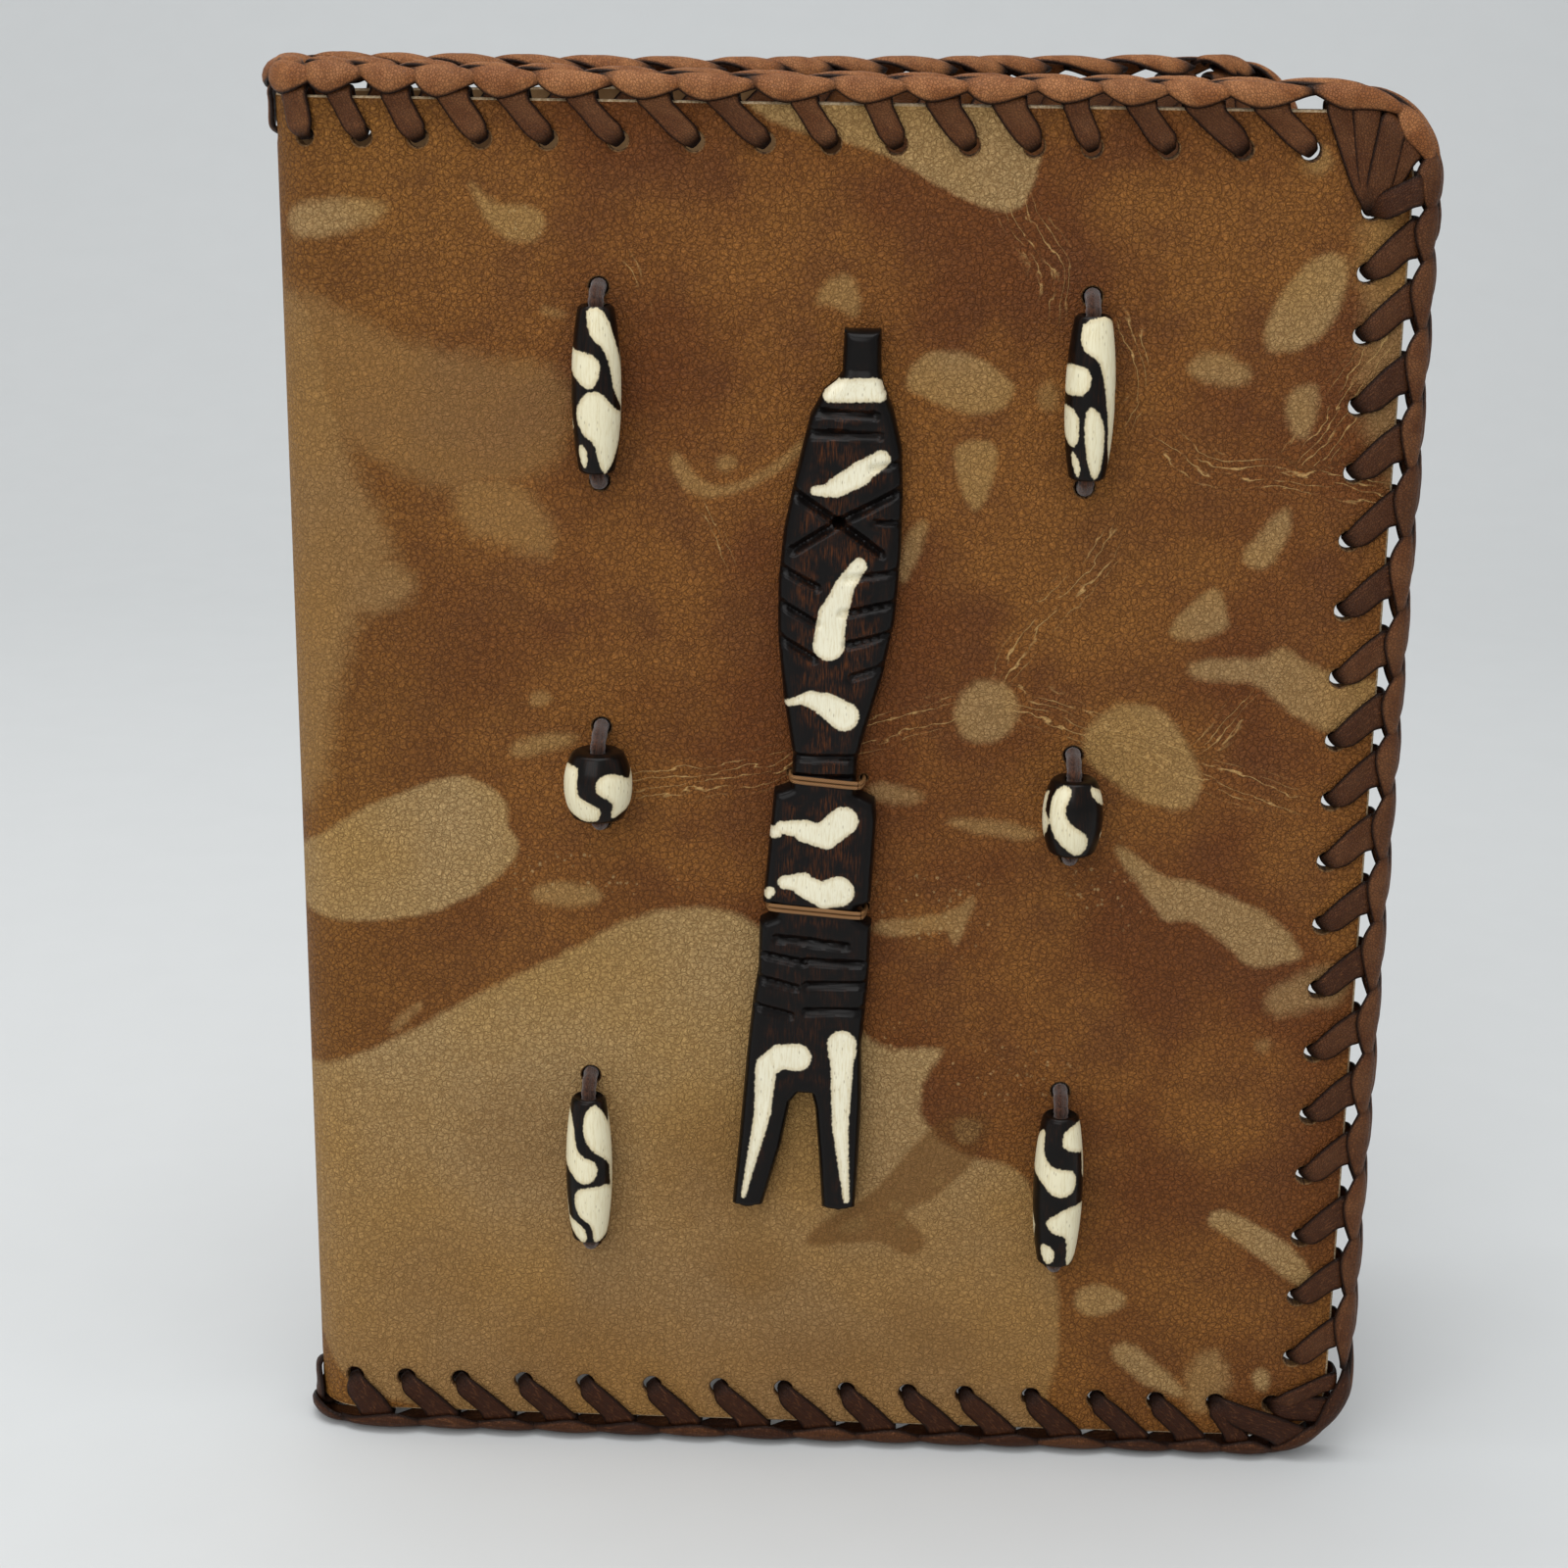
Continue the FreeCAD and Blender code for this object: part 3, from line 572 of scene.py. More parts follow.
# ---- dyed pattern of the front cover ------------------------------------------------------
# pale patches: softness, strength, outline as x from the spine's outermost line and height
PATCHES = [
    (1.2, 0.62, [(0.5, 196), (3, 199.8), (10, 200.8), (17, 200.6), (17.5, 198.4), (12, 196), (5, 194.4)]),
    (1.0, 0.55, [(29, 204.5), (31.4, 201), (34, 200), (38, 200.4), (41, 198.4), (39.6, 195.2), (36, 194.4),
                 (32.4, 196.6), (30.2, 200.4)]),
    (3.0, 0.32, [(-14, 190), (4, 187), (9, 183), (11, 175), (10, 165), (12, 158), (17, 151), (16, 144),
                 (11, 138), (9, 131), (6, 120), (5, 106), (-14, 104)]),
    (2.4, 0.20, [(2, 188.5), (7, 186.2), (12, 183.5), (18, 180), (28, 178.3), (36, 177.5),
                 (43, 177), (45, 171),
                 (43, 164), (39, 160), (31, 158.5), (25, 157), (12, 163), (4, 170)]),
    (2.2, 0.28, [(25, 158), (29, 161), (35, 160), (39.5, 156), (42, 150), (39, 146.5), (35, 150),
                 (28, 150)]),
    (2.0, 0.34, [(9, 146.5), (14, 147.5), (19, 146), (20.5, 142.5), (17, 139), (11, 138.4), (8, 142)]),
    (0.8, 0.34, [(36.6, 125.2), (38.4, 127.2), (40.8, 126.6), (40.4, 124.8), (38, 124.2)]),
    (1.1, 0.48, [(33.2, 117.4), (37, 119.8), (44, 120.6), (45, 118.8), (40, 117.2), (35, 116.2)]),
    (0.7, 0.86, [(-6, 99), (2.2, 101.4), (7, 105), (11.1, 107.6), (18, 110.6), (25.6, 113.5), (29, 112.6),
                 (32.8, 110), (33.9, 107.8), (33, 105.2), (35.6, 102.6), (34.6, 99.6), (31.7, 96.6),
                 (26.7, 92.8), (20, 89.9), (10, 88.7), (2.8, 89.3), (-6, 91)]),
    (1.0, 0.50, [(36.4, 94.4), (39, 96.2), (44, 96.4), (48.6, 95), (48, 93), (43, 92), (38.4, 92.6)]),
    (0.9, 0.95, [(-14, 62), (0, 63.4), (6.7, 65.2), (14.4, 69), (16.7, 70), (21.1, 72.8), (27.8, 76.8),
                 (33.3, 79.8), (40.6, 83.6), (47.8, 87.6), (52.2, 90.6), (60, 92.6), (67, 92.6), (73, 90),
                 (80, 82), (88, 73.5), (92, 69.6), (97, 69.4), (103.6, 70.9), (99.6, 66.6), (98, 61),
                 (99.2, 57), (104, 52.4), (110, 51), (115.6, 50), (118.2, 42), (120, 33.4), (122.2, 27.8),
                 (121.6, 22), (122.8, 18.6), (120.4, 10.6), (119, -4), (-14, -4)]),
    (0.6, 0.72, [(68, 217), (71, 213.8), (75, 212), (80, 210.3), (88.9, 209), (97.1, 204), (103.8, 200.8),
                 (108.2, 200), (110.3, 201.6), (111.7, 205.7), (112.4, 210), (108, 217)]),
    (1.0, 0.45, [(79.5, 186), (81, 189.6), (84, 191.4), (86.3, 189.5), (86.8, 184.6), (84.4, 185),
                 (82, 187)]),
    (0.8, 0.56, [(92.9, 175.3), (95.4, 179.4), (99, 180), (102.9, 179.8), (109.2, 176.4), (109.9, 173),
                 (105.6, 170.2), (99.9, 171.3), (94, 174)]),
    (1.2, 0.36, [(112.6, 173), (114, 176.2), (116, 175.4), (116, 172.2), (114, 171)]),
    (0.7, 0.52, [(100.7, 166.2), (104, 166.9), (107.7, 166.8), (107.1, 162.3), (105.2, 155.2), (103.2, 157),
                 (101, 162.3)]),
    (0.8, 0.48, [(97.2, 156), (97.3, 152.3), (94.4, 145.1), (92.9, 144.3), (93.4, 152.3)]),
    (0.9, 0.62, [(157.4, 194.6), (157.1, 190.1), (155.4, 184.6), (152.1, 181.6), (147.3, 180.2),
                 (145.1, 182.3),
                 (146.5, 187.3), (149.9, 192.7), (153.8, 195.6)]),
    (1.0, 0.50, [(134.4, 179), (138, 181), (142, 179.6), (145, 177), (142.6, 175.4), (138, 176),
                 (135, 177)]),
    (1.0, 0.52, [(148.8, 174.6), (152.7, 176.8), (154.3, 174.6), (153.8, 170.1), (151.9, 166.6),
                 (149.9, 170.1)]),
    (0.9, 0.55, [(144, 150.7), (147.1, 154), (148.8, 157.3), (151.6, 157.9), (150.7, 152.3), (148.2, 147.9),
                 (145.1, 148.4)]),
    (0.7, 0.52, [(132.4, 137.3), (136.6, 142.2), (139.3, 145.1), (141.6, 145.4), (142.7, 140.7),
                 (143.2, 139),
                 (138.2, 136.9)]),
    (0.9, 0.56, [(136, 132.9), (139.9, 134.6), (148.2, 134), (149.9, 136.2), (152.7, 136.2), (153.8, 134),
                 (160.4, 132.3), (170, 131), (170, 127), (160.4, 122.3), (156, 124.6), (152.7, 126.2),
                 (149.3, 129), (147.1, 131.2), (142.7, 130.7), (138.2, 131)]),
    (1.0, 0.56, [(102, 125.5), (103.6, 129.4), (107.6, 130.8), (111.4, 128.6), (112.2, 124.6),
                 (109.8, 120.8),
                 (105.4, 120), (102.6, 122)]),
    (0.9, 0.62, [(120.4, 119.6), (123.8, 125.6), (129.3, 127.6), (134.9, 125.6), (137.2, 121.4),
                 (139.9, 116.8),
                 (140.3, 111.4), (136, 109.6), (129.3, 112.3), (124.9, 115.7)]),
    (1.1, 0.40, [(89.9, 114), (96, 112.9), (99.3, 110.8), (91.6, 110), (88.6, 111.8)]),
    (0.9, 0.42, [(101.4, 108.4), (109.3, 107.9), (115.6, 107), (115.6, 104.4), (109.3, 105.3),
                 (102, 106.6)]),
    (0.8, 0.62, [(126.6, 105.4), (131.6, 102.3), (134.9, 99), (139.3, 99.2), (142.7, 97.3), (149.3, 95),
                 (153.8, 92.3), (156.2, 88.9), (157.7, 86.4), (153.8, 85.8), (148.8, 84.4), (147, 87.3),
                 (142.7, 90.6), (139.3, 93.2), (136, 91.6), (134.3, 93.9), (131.6, 97.8), (128.2, 101.7)]),
    (1.4, 0.40, [(164, 86.4), (158.8, 85), (153.8, 82.3), (151, 79.4), (153.8, 76.2),
                 (158.2, 78.6), (165, 79)]),
    (0.7, 0.46, [(90, 91.2), (98.2, 91.8), (103.2, 93), (106.2, 96.4), (106.2, 94), (104.9, 91.4),
                 (103.8, 86.4),
                 (102.6, 88.4), (102, 90.4), (97, 88.6), (90, 88.6)]),
    (1.2, 0.30, [(150.6, 72), (152, 73.6), (153.6, 72), (152, 70.4)]),
    (0.7, 0.66, [(144, 41.7), (146.8, 44.4), (151.6, 41.8), (158.2, 38.4), (163.4, 31.7), (161.6, 29.4),
                 (158.2, 31.8), (152.7, 36.4), (147.1, 39.8)]),
    (0.8, 0.60, [(123.8, 27.6), (125.6, 29.6), (128.4, 30.2), (131.8, 29), (133.4, 26.6), (128.4, 23.9),
                 (125, 24.5)]),
    (0.9, 0.62, [(130.1, 17.8), (131.6, 19.8), (134.4, 19.6), (138.2, 15.8), (142.7, 11.9), (143.6, 9.6),
                 (139.3, 10.4), (133.8, 13.9)]),
    (0.8, 0.62, [(153.6, 13), (154, 16), (156.2, 15.8), (156.8, 12), (155.2, 11)]),
    (2.6, 0.34, [(156, 200), (168, 206), (168, 158), (163, 164), (159, 176), (161, 188)]),
    (1.4, 0.42, [(149.6, 208), (151.4, 210.6), (153.6, 209.4), (153.4, 206.4), (150.6, 206)]),
    (0.8, 0.42, [(58.3, 164), (60.4, 164.4), (62.2, 160.3), (66.7, 158.6), (72.2, 161.4), (76.7, 164.8),
                 (77.8, 166.4), (79.8, 166.8), (78.3, 164), (73.3, 160.7), (68.9, 157.9), (62.2, 157.1),
                 (59.4, 160)]),
    (0.8, 0.40, [(65.2, 162.6), (67, 164.2), (69, 163.2), (68, 161.6), (66, 161.4)]),
    (0.9, 0.36, [(39, 185), (41.4, 185.6), (44, 184.4), (42, 183.6)]),
    (0.7, 0.34, [(13.6, 70.6), (16, 73.4), (19.4, 76), (19.8, 75), (17, 72), (14.6, 70.2)]),
    (1.6, 0.42, [(142, 14), (146, 20), (150, 17), (150, 9), (144, 6)]),
]
# brown over the pale: the same
STAINS = [
    (0.7, 0.75, [(80.4, 36.8), (83.8, 40), (87.2, 41.8), (91.4, 44.6), (96.8, 52.2), (101.4, 57.8),
                 (105.4, 59.4), (109.4, 59), (110.2, 57.2), (108.8, 53.4), (106, 48.8), (102.2, 45.6),
                 (101, 43.8), (97.2, 42.6), (96, 41), (99.8, 37.8), (100.6, 36), (97, 32.8), (94.4, 36.2),
                 (89.2, 36.2), (84.4, 35.6), (81, 35)]),
    (6.0, 0.34, [(60, 58), (72, 62), (78, 52), (74, 42), (66, 36), (58, 42), (56, 50)]),
    (5.0, 0.30, [(62, 34), (72, 38), (80, 32), (76, 24), (66, 26)]),
    (5.0, 0.22, [(28, 62), (36, 64), (44, 56), (40, 44), (30, 44), (24, 52)]),
    (4.0, 0.24, [(70, 18), (84, 22), (98, 17), (94, 11), (76, 12)]),
    (5.0, 0.20, [(10, 34), (22, 38), (34, 30), (26, 20), (12, 22)]),
    (4.5, 0.28, [(92, 28), (104, 26), (112, 18), (104, 12), (94, 16)]),
    (7.0, 0.22, [(30, 22), (46, 26), (58, 18), (50, 6), (32, 8)]),
]
# pale again over the stain
SPOTS = [
    (0.7, 0.55, [(104, 58.2), (107.4, 58.6), (109, 56.4), (106.6, 53.2), (103.6, 54.6)]),
    (0.6, 0.50, [(100.4, 47), (102.2, 48.6), (103, 47.2), (101.4, 45.8)]),
    (0.5, 0.60, [(93.6, 42.8), (95, 44), (96.6, 43.2), (96.2, 41.8), (94.4, 41.6)]),
    (0.5, 0.60, [(94.6, 39.2), (95.8, 40.6), (97.4, 39.4), (96.2, 38.4)]),
    (0.4, 0.50, [(92.2, 41.4), (93, 42.2), (93.6, 41.4), (92.8, 40.8)]),
    (0.7, 0.50, [(85.4, 38.6), (88.6, 40.8), (91.2, 40.2), (90.4, 38), (87, 37.4)]),
]
# creases of the front: half width, line
CREASES = [
    (3.0, [(108.4, 203), (110, 199), (112.7, 195.7), (114.9, 191), (115, 186)]),
    (2.0, [(124.4, 186), (127.1, 180.6), (128.2, 175), (126.6, 169.6)]),
    (2.6, [(131, 168), (138.2, 163.4), (147.1, 162.9), (153.8, 162.2), (166, 160)]),
    (2.6, [(108.6, 129.6), (112.7, 136.8), (117.1, 142.3), (122.7, 148), (126, 154)]),
    (3.0, [(109.4, 128), (117.1, 125.7), (122.7, 123.2), (131.6, 120.2), (142.7, 115.7), (155, 111.6)]),
    (2.8, [(103.6, 126), (96, 123.6), (89.3, 121.2), (77.8, 117), (71.1, 114.8), (62.2, 113.4), (52, 112)]),
    (1.0, [(63.3, 157), (65.6, 152.3), (68.4, 146.4)]),
    (3.6, [(151, 162), (154.6, 168), (160, 176), (166, 186)]),
    (1.4, [(52.4, 193), (54.4, 189), (55.4, 185)]),
    (2.0, [(137, 118), (142, 122), (147, 129)]),
]
# clouds of small pale flecks: x, z, half sizes
FLECKS = [(46, 97.5, 17, 5.0), (100, 93, 10, 9), (110, 66, 14, 6), (37.5, 197.5, 4, 3), (96, 72, 6, 5),
          (128, 98, 8, 8)]


def nearest(px, pz, a, b):
    """Share of the way from a to b at the place nearest to each point, and the distance to it."""
    dx, dz = b[0] - a[0], b[1] - a[1]
    t = np.clip(((px - a[0]) * dx + (pz - a[1]) * dz) / (dx * dx + dz * dz + 1e-12), 0, 1)
    return t, np.hypot(px - a[0] - dx * t, pz - a[1] - dz * t)


def inside_ring(px, pz, ring):
    """Signed distance in millimetres to a closed outline, positive inside."""
    best = np.full(px.shape, 1e9)
    inside = np.zeros(px.shape, bool)
    for a, b in zip(ring, np.roll(ring, -1, 0)):
        best = np.minimum(best, nearest(px, pz, a, b)[1])
        rise = b[1] - a[1]
        at = a[0] + (pz - a[1]) / (rise if abs(rise) > 1e-9 else 1e-9) * (b[0] - a[0])
        inside ^= ((a[1] > pz) != (b[1] > pz)) & (px < at)
    return np.where(inside, best, -best)


def distance_inside(px, pz, outline_points):
    """The same with the outline's corners rounded."""
    pts = np.array(outline_points, float)
    fine = [[0.16 * a + 0.68 * b + 0.16 * c, 0.5 * (b + c)]
            for a, b, c in zip(np.roll(pts, 1, 0), pts, np.roll(pts, -1, 0))]
    return inside_ring(px, pz, np.concatenate(fine))


def capsule(px, pz, a, b, c, d, r, r_end=None):
    """Distance inside a rounded bar from (a, b) to (c, d), tapering from r to r_end."""
    t, gap = nearest(px, pz, (a, b), (c, d))
    return (r if r_end is None else r + (r_end - r) * t) - gap


def layers(px, pz, shapes, reach=3.0):
    """The strongest shape at each point: signed distance over softness, and strength."""
    t = np.full(px.shape, -reach)
    k = np.zeros(px.shape)
    for soft, strength, points in shapes:
        p = np.array(points)
        pad = reach * soft + 1
        near = ((px > p[:, 0].min() - pad) & (px < p[:, 0].max() + pad)
                & (pz > p[:, 1].min() - pad) & (pz < p[:, 1].max() + pad))
        d = np.clip(distance_inside(px[near], pz[near], points) / soft, -reach, reach)
        better = d > t[near]
        where = np.flatnonzero(near)[better]
        t[where] = d[better]
        k[where] = strength
    return t, k


def crease_data(px, pz):
    """Place along and across the nearest crease and how strong it is, as three numbers."""
    best = np.zeros(px.shape)
    along_all, across_all = np.zeros(px.shape), np.zeros(px.shape)
    for number, (half, line) in enumerate(CREASES):
        pts = smooth_keys(line, 5 * len(line))
        run = 0.0
        dist = np.full(px.shape, 1e9)
        along, across = np.zeros(px.shape), np.zeros(px.shape)
        total = np.sum(np.linalg.norm(np.diff(pts, axis=0), axis=1))
        for a, b in zip(pts[:-1], pts[1:]):
            d = b - a
            size = math.hypot(*d)
            t, gap = nearest(px, pz, a, b)
            side = ((px - a[0]) * d[1] - (pz - a[1]) * d[0]) / size
            closer = gap < dist
            dist = np.where(closer, gap, dist)
            along = np.where(closer, run + t * size, along)
            across = np.where(closer, side, across)
            run += size
        ends = np.clip(np.minimum(along, total - along) / 5.0 + 0.35, 0, 1)
        strength = np.exp(-(dist / half) ** 2) * ends
        take = strength > best
        best = np.where(take, strength, best)
        along_all = np.where(take, along + 37.0 * number, along_all)
        across_all = np.where(take, across, across_all)
    return np.stack([along_all, across_all, best], -1)


def describe_front(q, z):
    """Vertex attributes of the front cover's dyed pattern."""
    x = q - q_of(0.0)
    pale_t, pale_k = layers(x, z, PATCHES)
    dark_t, dark_k = layers(x, z, STAINS)
    spot_t, spot_k = layers(x, z, SPOTS)
    fleck = np.zeros_like(x)
    for cx, cz, rx, rz in FLECKS:
        fleck = np.maximum(fleck, np.exp(-((x - cx) / rx) ** 2 - ((z - cz) / rz) ** 2))
    pale_k = np.minimum(0.96, pale_k * 1.2)
    big = np.clip((72 - z) / 60, 0, 1) * (pale_k > 0.94)
    pale_k = pale_k * (1 - 0.52 * big)
    gold = np.clip(1 - x / 42, 0, 1) * 0.8 + np.clip((60 - z) / 50, 0, 1) * 0.3
    return {"pale": np.stack([pale_t, pale_k, fleck], -1),
            "stain": np.stack([dark_t, dark_k, gold], -1),
            "spot": np.stack([spot_t, spot_k, q * 0], -1), "crease": crease_data(x, z)}


def random_patches(seed, count):
    """Freely dyed patches for the back cover, the same kind as on the front."""
    r = np.random.default_rng(seed)
    out = []
    for _ in range(count):
        cx, cz = r.uniform(2, 164), r.uniform(6, 212)
        big = r.uniform() > 0.86
        size = r.uniform(14, 24) if big else r.uniform(2.2, 6.5)
        flat, turn = r.uniform(0.35, 0.8), r.uniform(0, math.pi)
        points = []
        for a in np.arange(9) * 2 * math.pi / 9:
            rad = size * r.uniform(0.75, 1.2)
            u, v = rad * math.cos(a), rad * flat * math.sin(a)
            points.append((cx + u * math.cos(turn) - v * math.sin(turn),
                           cz + u * math.sin(turn) + v * math.cos(turn)))
        out.append((r.uniform(0.7, 1.6), r.uniform(0.35, 0.7) + 0.2 * big, points))
    return out


BACK_PATCHES = random_patches(21, 46)


def describe_back(q, z):
    pale_t, pale_k = layers(q - q_of(0.0), z, BACK_PATCHES)
    zero = np.zeros_like(q)
    left = np.clip(1 - np.abs(q) / 40, 0, 1) * 0.7
    return {"pale": np.stack([pale_t, pale_k, zero], -1),
            "stain": np.stack([zero - 3, zero, left], -1),
            "spot": np.stack([zero - 3, zero, zero], -1),
            "crease": np.stack([zero, zero, zero], -1)}


# ---- materials ----------------------------------------------------------------------------
def rgb(r, g, b):
    """Linear colour of an 8-bit display colour."""
    def lin(v):
        v = v / 255.0
        return v / 12.92 if v <= 0.04045 else ((v + 0.055) / 1.055) ** 2.4
    return (lin(r), lin(g), lin(b), 1.0)


class Shade:
    """Short calls for building one material's nodes."""

    def __init__(self, name, roughness=0.5, specular=0.5, coat=0.0, coat_roughness=0.3, sheen=0.0):
        self.material = bpy.data.materials.new(name)
        self.material.use_nodes = True
        self.tree = self.material.node_tree
        self.shader = self.tree.nodes["Principled BSDF"]
        self.set("Roughness", roughness)
        self.set("Specular IOR Level", specular)
        self.set("Coat Weight", coat)
        self.set("Coat Roughness", coat_roughness)
        self.set("Sheen Weight", sheen)

    def set(self, name, value):
        self.feed(self.shader.inputs[name], value)

    def feed(self, socket, value):
        if isinstance(value, bpy.types.NodeSocket):
            self.tree.links.new(value, socket)
        else:
            socket.default_value = value

    def node(self, kind, inputs=(), **settings):
        n = self.tree.nodes.new("ShaderNode" + kind)
        for key, value in settings.items():
            setattr(n, key, value)
        for key, value in dict(inputs).items():
            self.feed(n.inputs[key], value)
        return n

    def attribute(self, name):
        n = self.node("Attribute", attribute_name=name)
        parts = self.node("SeparateXYZ", {0: n.outputs["Vector"]})
        return n.outputs["Vector"], parts.outputs

    def value(self, name):
        return self.node("Attribute", attribute_name=name).outputs["Fac"]

    def math(self, op, a, b=0.0, c=0.0):
        return self.node("Math", {0: a, 1: b, 2: c}, operation=op).outputs[0]

    def times(self, a, b):
        return self.math("MULTIPLY", a, b)

    def times_plus(self, a, b, c):
        return self.math("MULTIPLY_ADD", a, b, c)

    def noise(self, where, scale, detail=2.0, roughness=0.5):
        n = self.node("TexNoise", {"Vector": where, "Scale": scale, "Detail": detail,
                                   "Roughness": roughness})
        return n.outputs["Fac"]

    def cells(self, where, scale, feature="F1"):
        n = self.node("TexVoronoi", {"Vector": where, "Scale": scale}, feature=feature)
        return n.outputs["Distance"]

    def ramp(self, value, low, high, to_low=0.0, to_high=1.0):
        n = self.node("MapRange", {"Value": value, "From Min": low, "From Max": high,
                                   "To Min": to_low, "To Max": to_high},
                      interpolation_type="SMOOTHSTEP", clamp=True)
        return n.outputs["Result"]

    def mix(self, factor, a, b):
        n = self.node("Mix", {0: factor, 6: a, 7: b}, data_type="RGBA", blend_type="MIX")
        return n.outputs[2]

    def tint(self, colour, mask, share, other):
        """The colour with the other one over it, by share times the mask."""
        return self.mix(self.times(mask, share), colour, other)

    def scaled(self, vector, x, y, z):
        return self.node("VectorMath", {0: vector, 1: (x, y, z)}, operation="MULTIPLY").outputs[0]

    def bump(self, height, strength, distance):
        inputs = {"Height": height, "Strength": strength, "Distance": distance * MM}
        return self.node("Bump", inputs).outputs["Normal"]


def grain_of(s, panel):
    """Pebbled grain in the panel's millimetres, from 0 to 1, and a broad softness."""
    soft = s.noise(panel, 0.35, 2, 0.5)
    drift = s.node("TexNoise", {"Vector": panel, "Scale": 0.9, "Detail": 1.0}).outputs["Color"]
    warp = s.node("VectorMath", {0: panel, 1: drift}, operation="ADD").outputs[0]
    pebbles = s.ramp(s.cells(warp, 1.12, "DISTANCE_TO_EDGE"), 0.0, 0.22)
    small = s.ramp(s.cells(warp, 2.3, "DISTANCE_TO_EDGE"), 0.0, 0.22)
    return s.times_plus(small, 0.45, s.times(pebbles, 0.55)), soft


def crease_line(s, crease):
    """Thin pale lines that run along each fold of the leather."""
    along, across, strength = crease
    bend = s.node("CombineXYZ", {0: s.times(along, 0.11), 1: s.times(across, 0.30)}).outputs[0]
    shift = s.times_plus(s.noise(bend, 1.0, 3, 0.55), 4.0, -2.0)
    lane = s.math("ADD", s.times(across, 0.75), shift)
    tooth = s.math("ABSOLUTE", s.math("SUBTRACT", s.math("FRACT", lane), 0.5))
    broken = s.ramp(s.noise(s.scaled(bend, 1.4, 3.0, 1.0), 1.0, 2, 0.5), 0.38, 0.56)
    return s.times(s.times(s.ramp(tooth, 0.13, 0.0), broken), s.ramp(strength, 0.12, 0.75))


def cover_material():
    """Vegetable-tanned leather dyed brown round pale patches."""
    s = Shade("dyed_leather", roughness=0.5, specular=0.16)
    panel, _ = s.attribute("panel")
    pale, stain, spot, crease = (s.attribute(name)[1] for name in ("pale", "stain", "spot", "crease"))
    grain, soft = grain_of(s, panel)
    wide = s.noise(panel, 0.028, 3, 0.5)
    middle = s.noise(panel, 0.09, 3, 0.55)
    edge_noise = s.times_plus(s.noise(panel, 0.45, 3, 0.6), 1.5, -0.75)
    fine_noise = s.times_plus(s.noise(panel, 2.2, 2, 0.6), 0.7, -0.35)
    wander = s.math("ADD", edge_noise, fine_noise)

    def ragged(distance):
        return s.ramp(s.math("ADD", distance, wander), -0.9, 0.9)
    base = s.mix(s.ramp(wide, 0.38, 0.62), rgb(124, 72, 32), rgb(156, 102, 46))
    base = s.tint(base, s.ramp(middle, 0.45, 0.7), 0.45, rgb(108, 64, 36))
    base = s.tint(base, stain[2], 0.75, rgb(156, 108, 46))
    cover_pale = ragged(pale[0])
    pale_colour = s.mix(s.ramp(wide, 0.35, 0.65), rgb(192, 160, 110), rgb(190, 152, 92))
    colour = s.tint(base, cover_pale, pale[1], pale_colour)
    colour = s.tint(colour, ragged(stain[0]), stain[1], rgb(122, 80, 36))
    colour = s.tint(colour, ragged(spot[0]), spot[1], rgb(158, 124, 74))
    # mottled dye: darker in the grain's valleys, and freckles
    mottle = s.noise(panel, 0.9, 3, 0.65)
    colour = s.tint(colour, s.ramp(mottle, 0.60, 0.36), 0.16, rgb(92, 54, 20))
    valley_colour = s.mix(cover_pale, rgb(64, 32, 8), rgb(116, 84, 44))
    colour = s.tint(colour, s.math("SUBTRACT", 1.0, grain), 0.74, valley_colour)
    dots = s.ramp(s.cells(panel, 0.8), 0.30, 0.14)
    cloud = s.ramp(s.times(pale[2], s.ramp(mottle, 0.40, 0.62)), 0.15, 0.65)
    colour = s.tint(colour, s.times(dots, cloud), 0.55, rgb(186, 154, 104))
    line = crease_line(s, crease)
    colour = s.tint(colour, line, 0.75, rgb(212, 170, 108))
    s.set("Base Color", colour)
    s.set("Roughness", s.times_plus(soft, 0.08, s.times_plus(grain, -0.10, 0.56)))
    height = s.math("ADD", grain, s.times(line, 0.8))
    height = s.times_plus(s.noise(panel, 0.25, 3, 0.6), 1.2, height)
    s.set("Normal", s.bump(height, 0.85, 0.26))
    return s.material


def flesh_material(name, base, dark):
    """The rough flesh side of leather."""
    s = Shade(name, roughness=0.85, specular=0.15, sheen=0.15)
    panel, _ = s.attribute("panel")
    nap = s.noise(panel, 3.0, 4, 0.7)
    broad = s.noise(panel, 0.08, 3, 0.5)
    colour = s.mix(s.ramp(broad, 0.35, 0.65), base, dark)
    s.set("Base Color", s.tint(colour, s.ramp(nap, 0.4, 0.65), 0.35, dark))
    s.set("Normal", s.bump(nap, 0.6, 0.15))
    return s.material


def cut_material(name, base, dark):
    """The raw cut edge of vegetable-tanned leather."""
    s = Shade(name, roughness=0.75, specular=0.2)
    panel, _ = s.attribute("panel")
    fibre = s.noise(panel, 2.2, 4, 0.7)
    s.set("Base Color", s.mix(s.ramp(fibre, 0.35, 0.65), dark, base))
    s.set("Normal", s.bump(fibre, 0.5, 0.12))
    return s.material


def pocket_material():
    """Plain brown leather of the pockets."""
    s = Shade("pocket_leather", roughness=0.48, specular=0.2)
    panel, _ = s.attribute("panel")
    grain, soft = grain_of(s, panel)
    broad = s.noise(panel, 0.05, 3, 0.5)
    colour = s.mix(s.ramp(broad, 0.35, 0.65), rgb(112, 68, 32), rgb(92, 54, 26))
    colour = s.tint(colour, s.math("SUBTRACT", 1.0, grain), 0.35, rgb(54, 30, 14))
    s.set("Base Color", colour)
    s.set("Roughness", s.times_plus(grain, -0.1, 0.52))
    s.set("Normal", s.bump(s.times_plus(soft, 0.8, grain), 0.5, 0.15))
    return s.material


